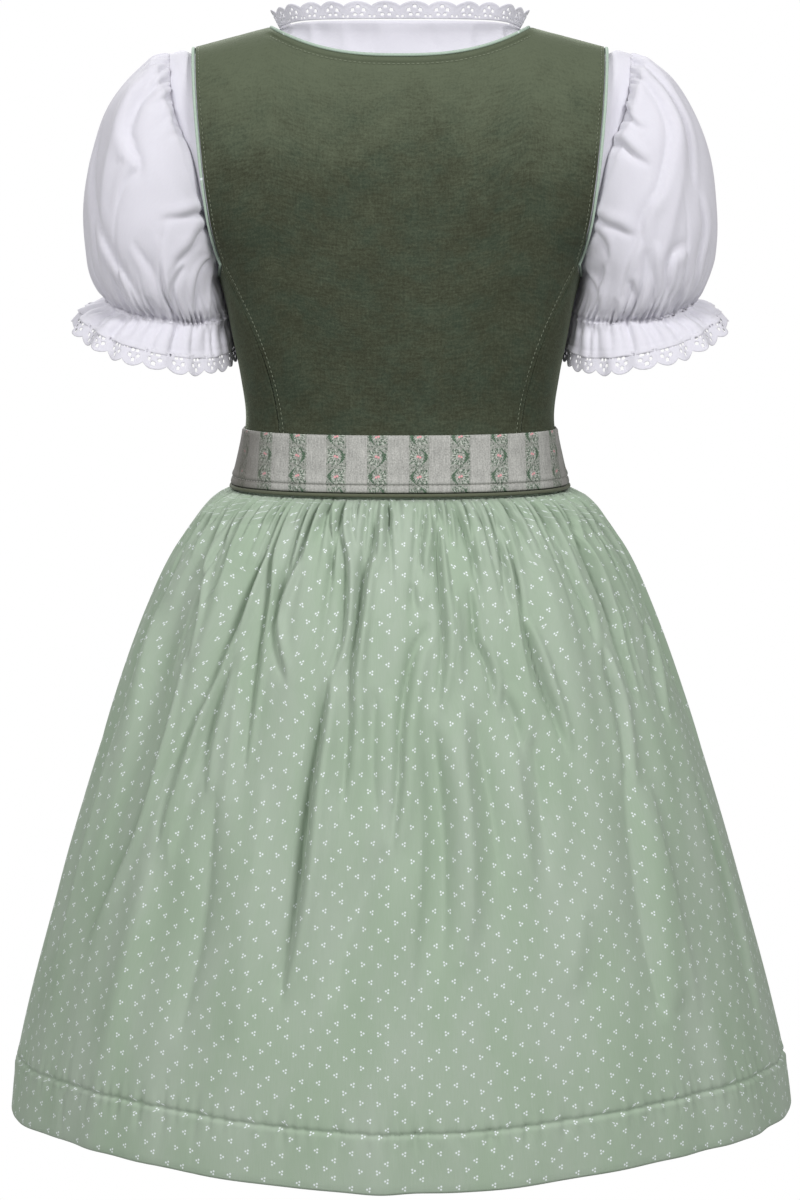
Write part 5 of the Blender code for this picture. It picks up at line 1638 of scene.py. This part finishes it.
def makeBand():
    height = band["top"] - band["bottom"]
    stitchShare = 1 - band["stitch"] / height
    bandRows = denser((stitchShare, 0.04, 3.0), (0.0, 0.03, 1.5), (1.0, 0.03, 1.5))

    def onBand(angle, share, more=0.0):
        degrees = np.degrees(angle)
        out = band["out"] + foldRelief(band["creases"], degrees, share, 0.0019, height)
        out -= band["groove"] * bell((share - stitchShare) / 0.016)
        out += band["ridge"] * bell((share - stitchShare + 0.060) / 0.04)
        upper, lower = band["edges"]
        out -= upper * (1 - ease(share / 0.035)) + lower * (1 - ease((1 - share) / 0.03))
        pucker = np.sin(degrees * 2.3 + 1.8 * np.sin(degrees * 0.31)) * bell((share - stitchShare) / 0.10)
        return torsoPoint(angle, band["top"] - height * share, out + band["pucker"] * pucker + more)

    def place(u, v):  # it starts and ends at the centre front, behind the bow
        return onBand(math.tau * (u - 0.5), bandRows(v))

    shift, rise = band["printShift"]
    clothSheet(
        "apronBand", apronCloth, (270, 34), place, (0, 0, -0.29), (0.65, 0.04), "stretched",
        closed=True, shift=shift, rise=rise, thickness=band["thickness"],
    )
    line = onBand(np.radians(np.linspace(-180, 180, 400)), np.full(400, stitchShare), 0.0001)
    stitchRows("bandStitches", [line], bandThread, "striped_apron_cloth")


bow = {
    "z": -0.288,
    "knot": (0.024, 0.016, 0.030),
    "knotThickness": 0.0007,
    "knotCreases": (0.055, 900),  # share of its size, and how closely they follow each other
    "reach": 0.066,
    "width": 0.034,
    "droop": 0.010,
    "loopLift": 0.0052,  # how far the loop starts in front of the band, and how much it gains
    "loopRise": (0.0070, 0.0060),
    "tail": 0.150,
    "tailStart": 0.004,
    "tailWidth": 0.032,
    "tailSpread": 0.016,
    "tailLift": 0.0022,
    "foldRoom": 0.0032,  # for the apron's own folds behind it
}


def frontDepth(curves, x, z, out):
    share = np.clip(np.abs(x) / (curves["half"](-z) + out), 0.0, 1.0)
    power = curves["round"](-z)
    return (curves["front"](-z) + out) * (1 - share ** power) ** (1 / power)


def frontSurface(x, z):  # how far the band or the apron reaches forward
    atBand = frontDepth(torsoCurves, x, z, band["out"])
    panel = frontDepth(skirtCurves, x, z, apron["clearance"] + bow["foldRoom"])
    turned = torsoAngle(x, np.maximum(z, band["bottom"]), band["out"])
    degrees = 180 - np.degrees(np.copysign(turned, x))
    return np.maximum(atBand, panel + foldsOut(skirt["front"], degrees, z))


def makeBow():
    wide, deep, tall = bow["knot"]
    root = wide / 2 + 3 * seamGap
    low, high = (float(frontSurface(0.0, bow["z"] - end * tall / 2)) for end in (1, -1))
    slope = math.atan2(low - high, tall)
    knotBack = (low + high) / 2 + 3 * seamGap
    seat = np.array([0.0, -knotBack - deep / 2 * math.cos(slope), bow["z"]])

    def placeKnot(u, v):
        turn, tilt = math.tau * u, math.pi * (0.5 - v) * 0.985
        around = signedPower(np.cos(tilt), 0.5)
        x = wide / 2 * around * signedPower(np.sin(turn), 0.62)
        y = deep / 2 * around * signedPower(np.cos(turn), 0.62)
        z = tall / 2 * signedPower(np.sin(tilt), 0.55)
        depth, often = bow["knotCreases"]
        crease = 1 - depth * np.cos(z * often + 1.6 * np.sin(turn * 2)) * around
        waist = 1 - 0.10 * bell(z / 0.006) - 0.05 * bell((z - 0.004) / 0.002)
        x, y = x * crease * waist, y * crease
        leaning = (x, y * math.cos(slope) + z * math.sin(slope), z * math.cos(slope) - y * math.sin(slope))
        return seat + np.stack(leaning, axis=1)

    clothSheet(
        "bowKnotWrap", apronCloth, (56, 44), placeKnot, seat, standsFor="bow_knot",
        thickness=bow["knotThickness"], closed=True, turned=True,
    )

    def placeLoop(u, v):
        share = (1 - np.cos(math.tau * u)) / 2
        x = root + bow["reach"] * share
        width = bow["width"] * (0.55 + 0.45 * ease(share * 1.6)) * (1 + 0.05 * np.sin(9 * u))
        z = bow["z"] - bow["droop"] * share ** 2 + width * (0.5 - v)
        gain, gap = bow["loopRise"]
        forward = bow["loopLift"] + gain * u + gap * np.maximum(0.0, np.sin(math.tau * (u - 0.5)))
        pleat = 0.0012 * np.sin(v * 11 + 2.5 * u) * (1 - ease(share * 1.5))
        pleat += 0.0010 * np.sin(v * 6 + 4 * u) * share
        return np.stack([x, -frontSurface(x, z) - forward - pleat - 0.0006, z], axis=1)

    def placeTail(u, v):
        width = bow["tailWidth"] * (0.45 + 0.55 * ease(v * 2.5))
        x = bow["tailStart"] + width * u + bow["tailSpread"] * v + 0.0015 * np.sin(v * 7)
        z = bow["z"] - tall / 2 - 6 * seamGap - bow["tail"] * v - 0.012 * u * v
        ripple = 0.0015 * (1 - np.cos(math.tau * 1.5 * u + 1.2 * v)) * ease(v * 2)
        pleat = 0.0011 * (1 + np.sin(u * 17)) * (1 - ease(v * 3))
        return np.stack([x, -frontSurface(x, z) - bow["tailLift"] - ripple - pleat, z], axis=1)

    for hand, sign in sides:
        loop, tail = handed(placeLoop, sign), handed(placeTail, sign)
        heart = (sign * (root + bow["reach"] * 0.55), -knotBack - 0.008, bow["z"] - 0.004)
        clothSheet(f"bowLoop{hand}", apronCloth, (72, 20), loop, heart, (0.15, 0.034), "folded")
        clothSheet(f"bowTail{hand}", apronCloth, (22, 64), tail, (0, 0, -0.35), (0.16, 0.032), turned=True)


makeApronPanel()
makeBand()
makeBow()
print("apron made")


studio = {
    "aim": (0.0, 0.05, -0.36),
    "lights": [  # name, place, power, size
        ("keyLight", (-1.36, 1.88, 1.32), 48.0, 0.8),
        ("fillLight", (1.34, 1.92, 1.08), 38.5, 0.9),
        ("frontLight", (0.50, -2.30, 1.30), 60.0, 1.0),
    ],
    "worldLight": (0.32, 1.0),  # as it lights the dress, and as it is seen behind
    "floorZ": -1.8,
    "floorHalf": 1.1,
    "floorGreys": (0.78, 0.74),
    "lens": 105.84,
    "sensor": 36.0,
    "cameraPlace": (0.0, 2.4, -0.102),
    "cameraTilt": 83.21,
}


def makeFloor():
    bm = bmesh.new()
    bmesh.ops.create_grid(bm, x_segments=1, y_segments=1, size=studio["floorHalf"])
    pale, tree, shader = newMaterial("paleFloor", 0.95)
    light, dark = ((grey,) * 3 for grey in studio["floorGreys"])
    feed(shader["Base Color"], blendColours(noise(objectVector(tree), 3.0), light, dark))
    floor = meshObject("floor", bm, pale, smooth=False)
    floor.data.transform(Matrix.Translation((0, 0, studio["floorZ"])))


def makeLights():
    for name, place, power, size in studio["lights"]:
        data = bpy.data.lights.new(name, "AREA")
        data.energy, data.size = power, size
        lamp = addObject(name, data)
        lamp.location = place
        lamp.rotation_euler = (Vector(studio["aim"]) - Vector(place)).to_track_quat("-Z", "Y").to_euler()
    scene.world = bpy.data.worlds.new("studio")
    scene.world.use_nodes = True
    tree = scene.world.node_tree
    background = tree.nodes["Background"].inputs
    background["Color"].default_value = (1.0, 1.0, 1.0, 1.0)
    lighting, seen = studio["worldLight"]
    feed(background["Strength"], node("LightPath", {}, tree=tree) * (seen - lighting) + lighting)


def makeCamera():
    data = bpy.data.cameras.new("backCamera")
    data.lens, data.sensor_width, data.clip_end = studio["lens"], studio["sensor"], 60.0
    camera = addObject("backCamera", data)
    camera.location = studio["cameraPlace"]
    camera.rotation_euler = (math.radians(studio["cameraTilt"]), 0.0, math.pi)
    scene.camera = camera
    scene.view_settings.view_transform = "Standard"


makeFloor()
makeLights()
makeCamera()
print("stage made")
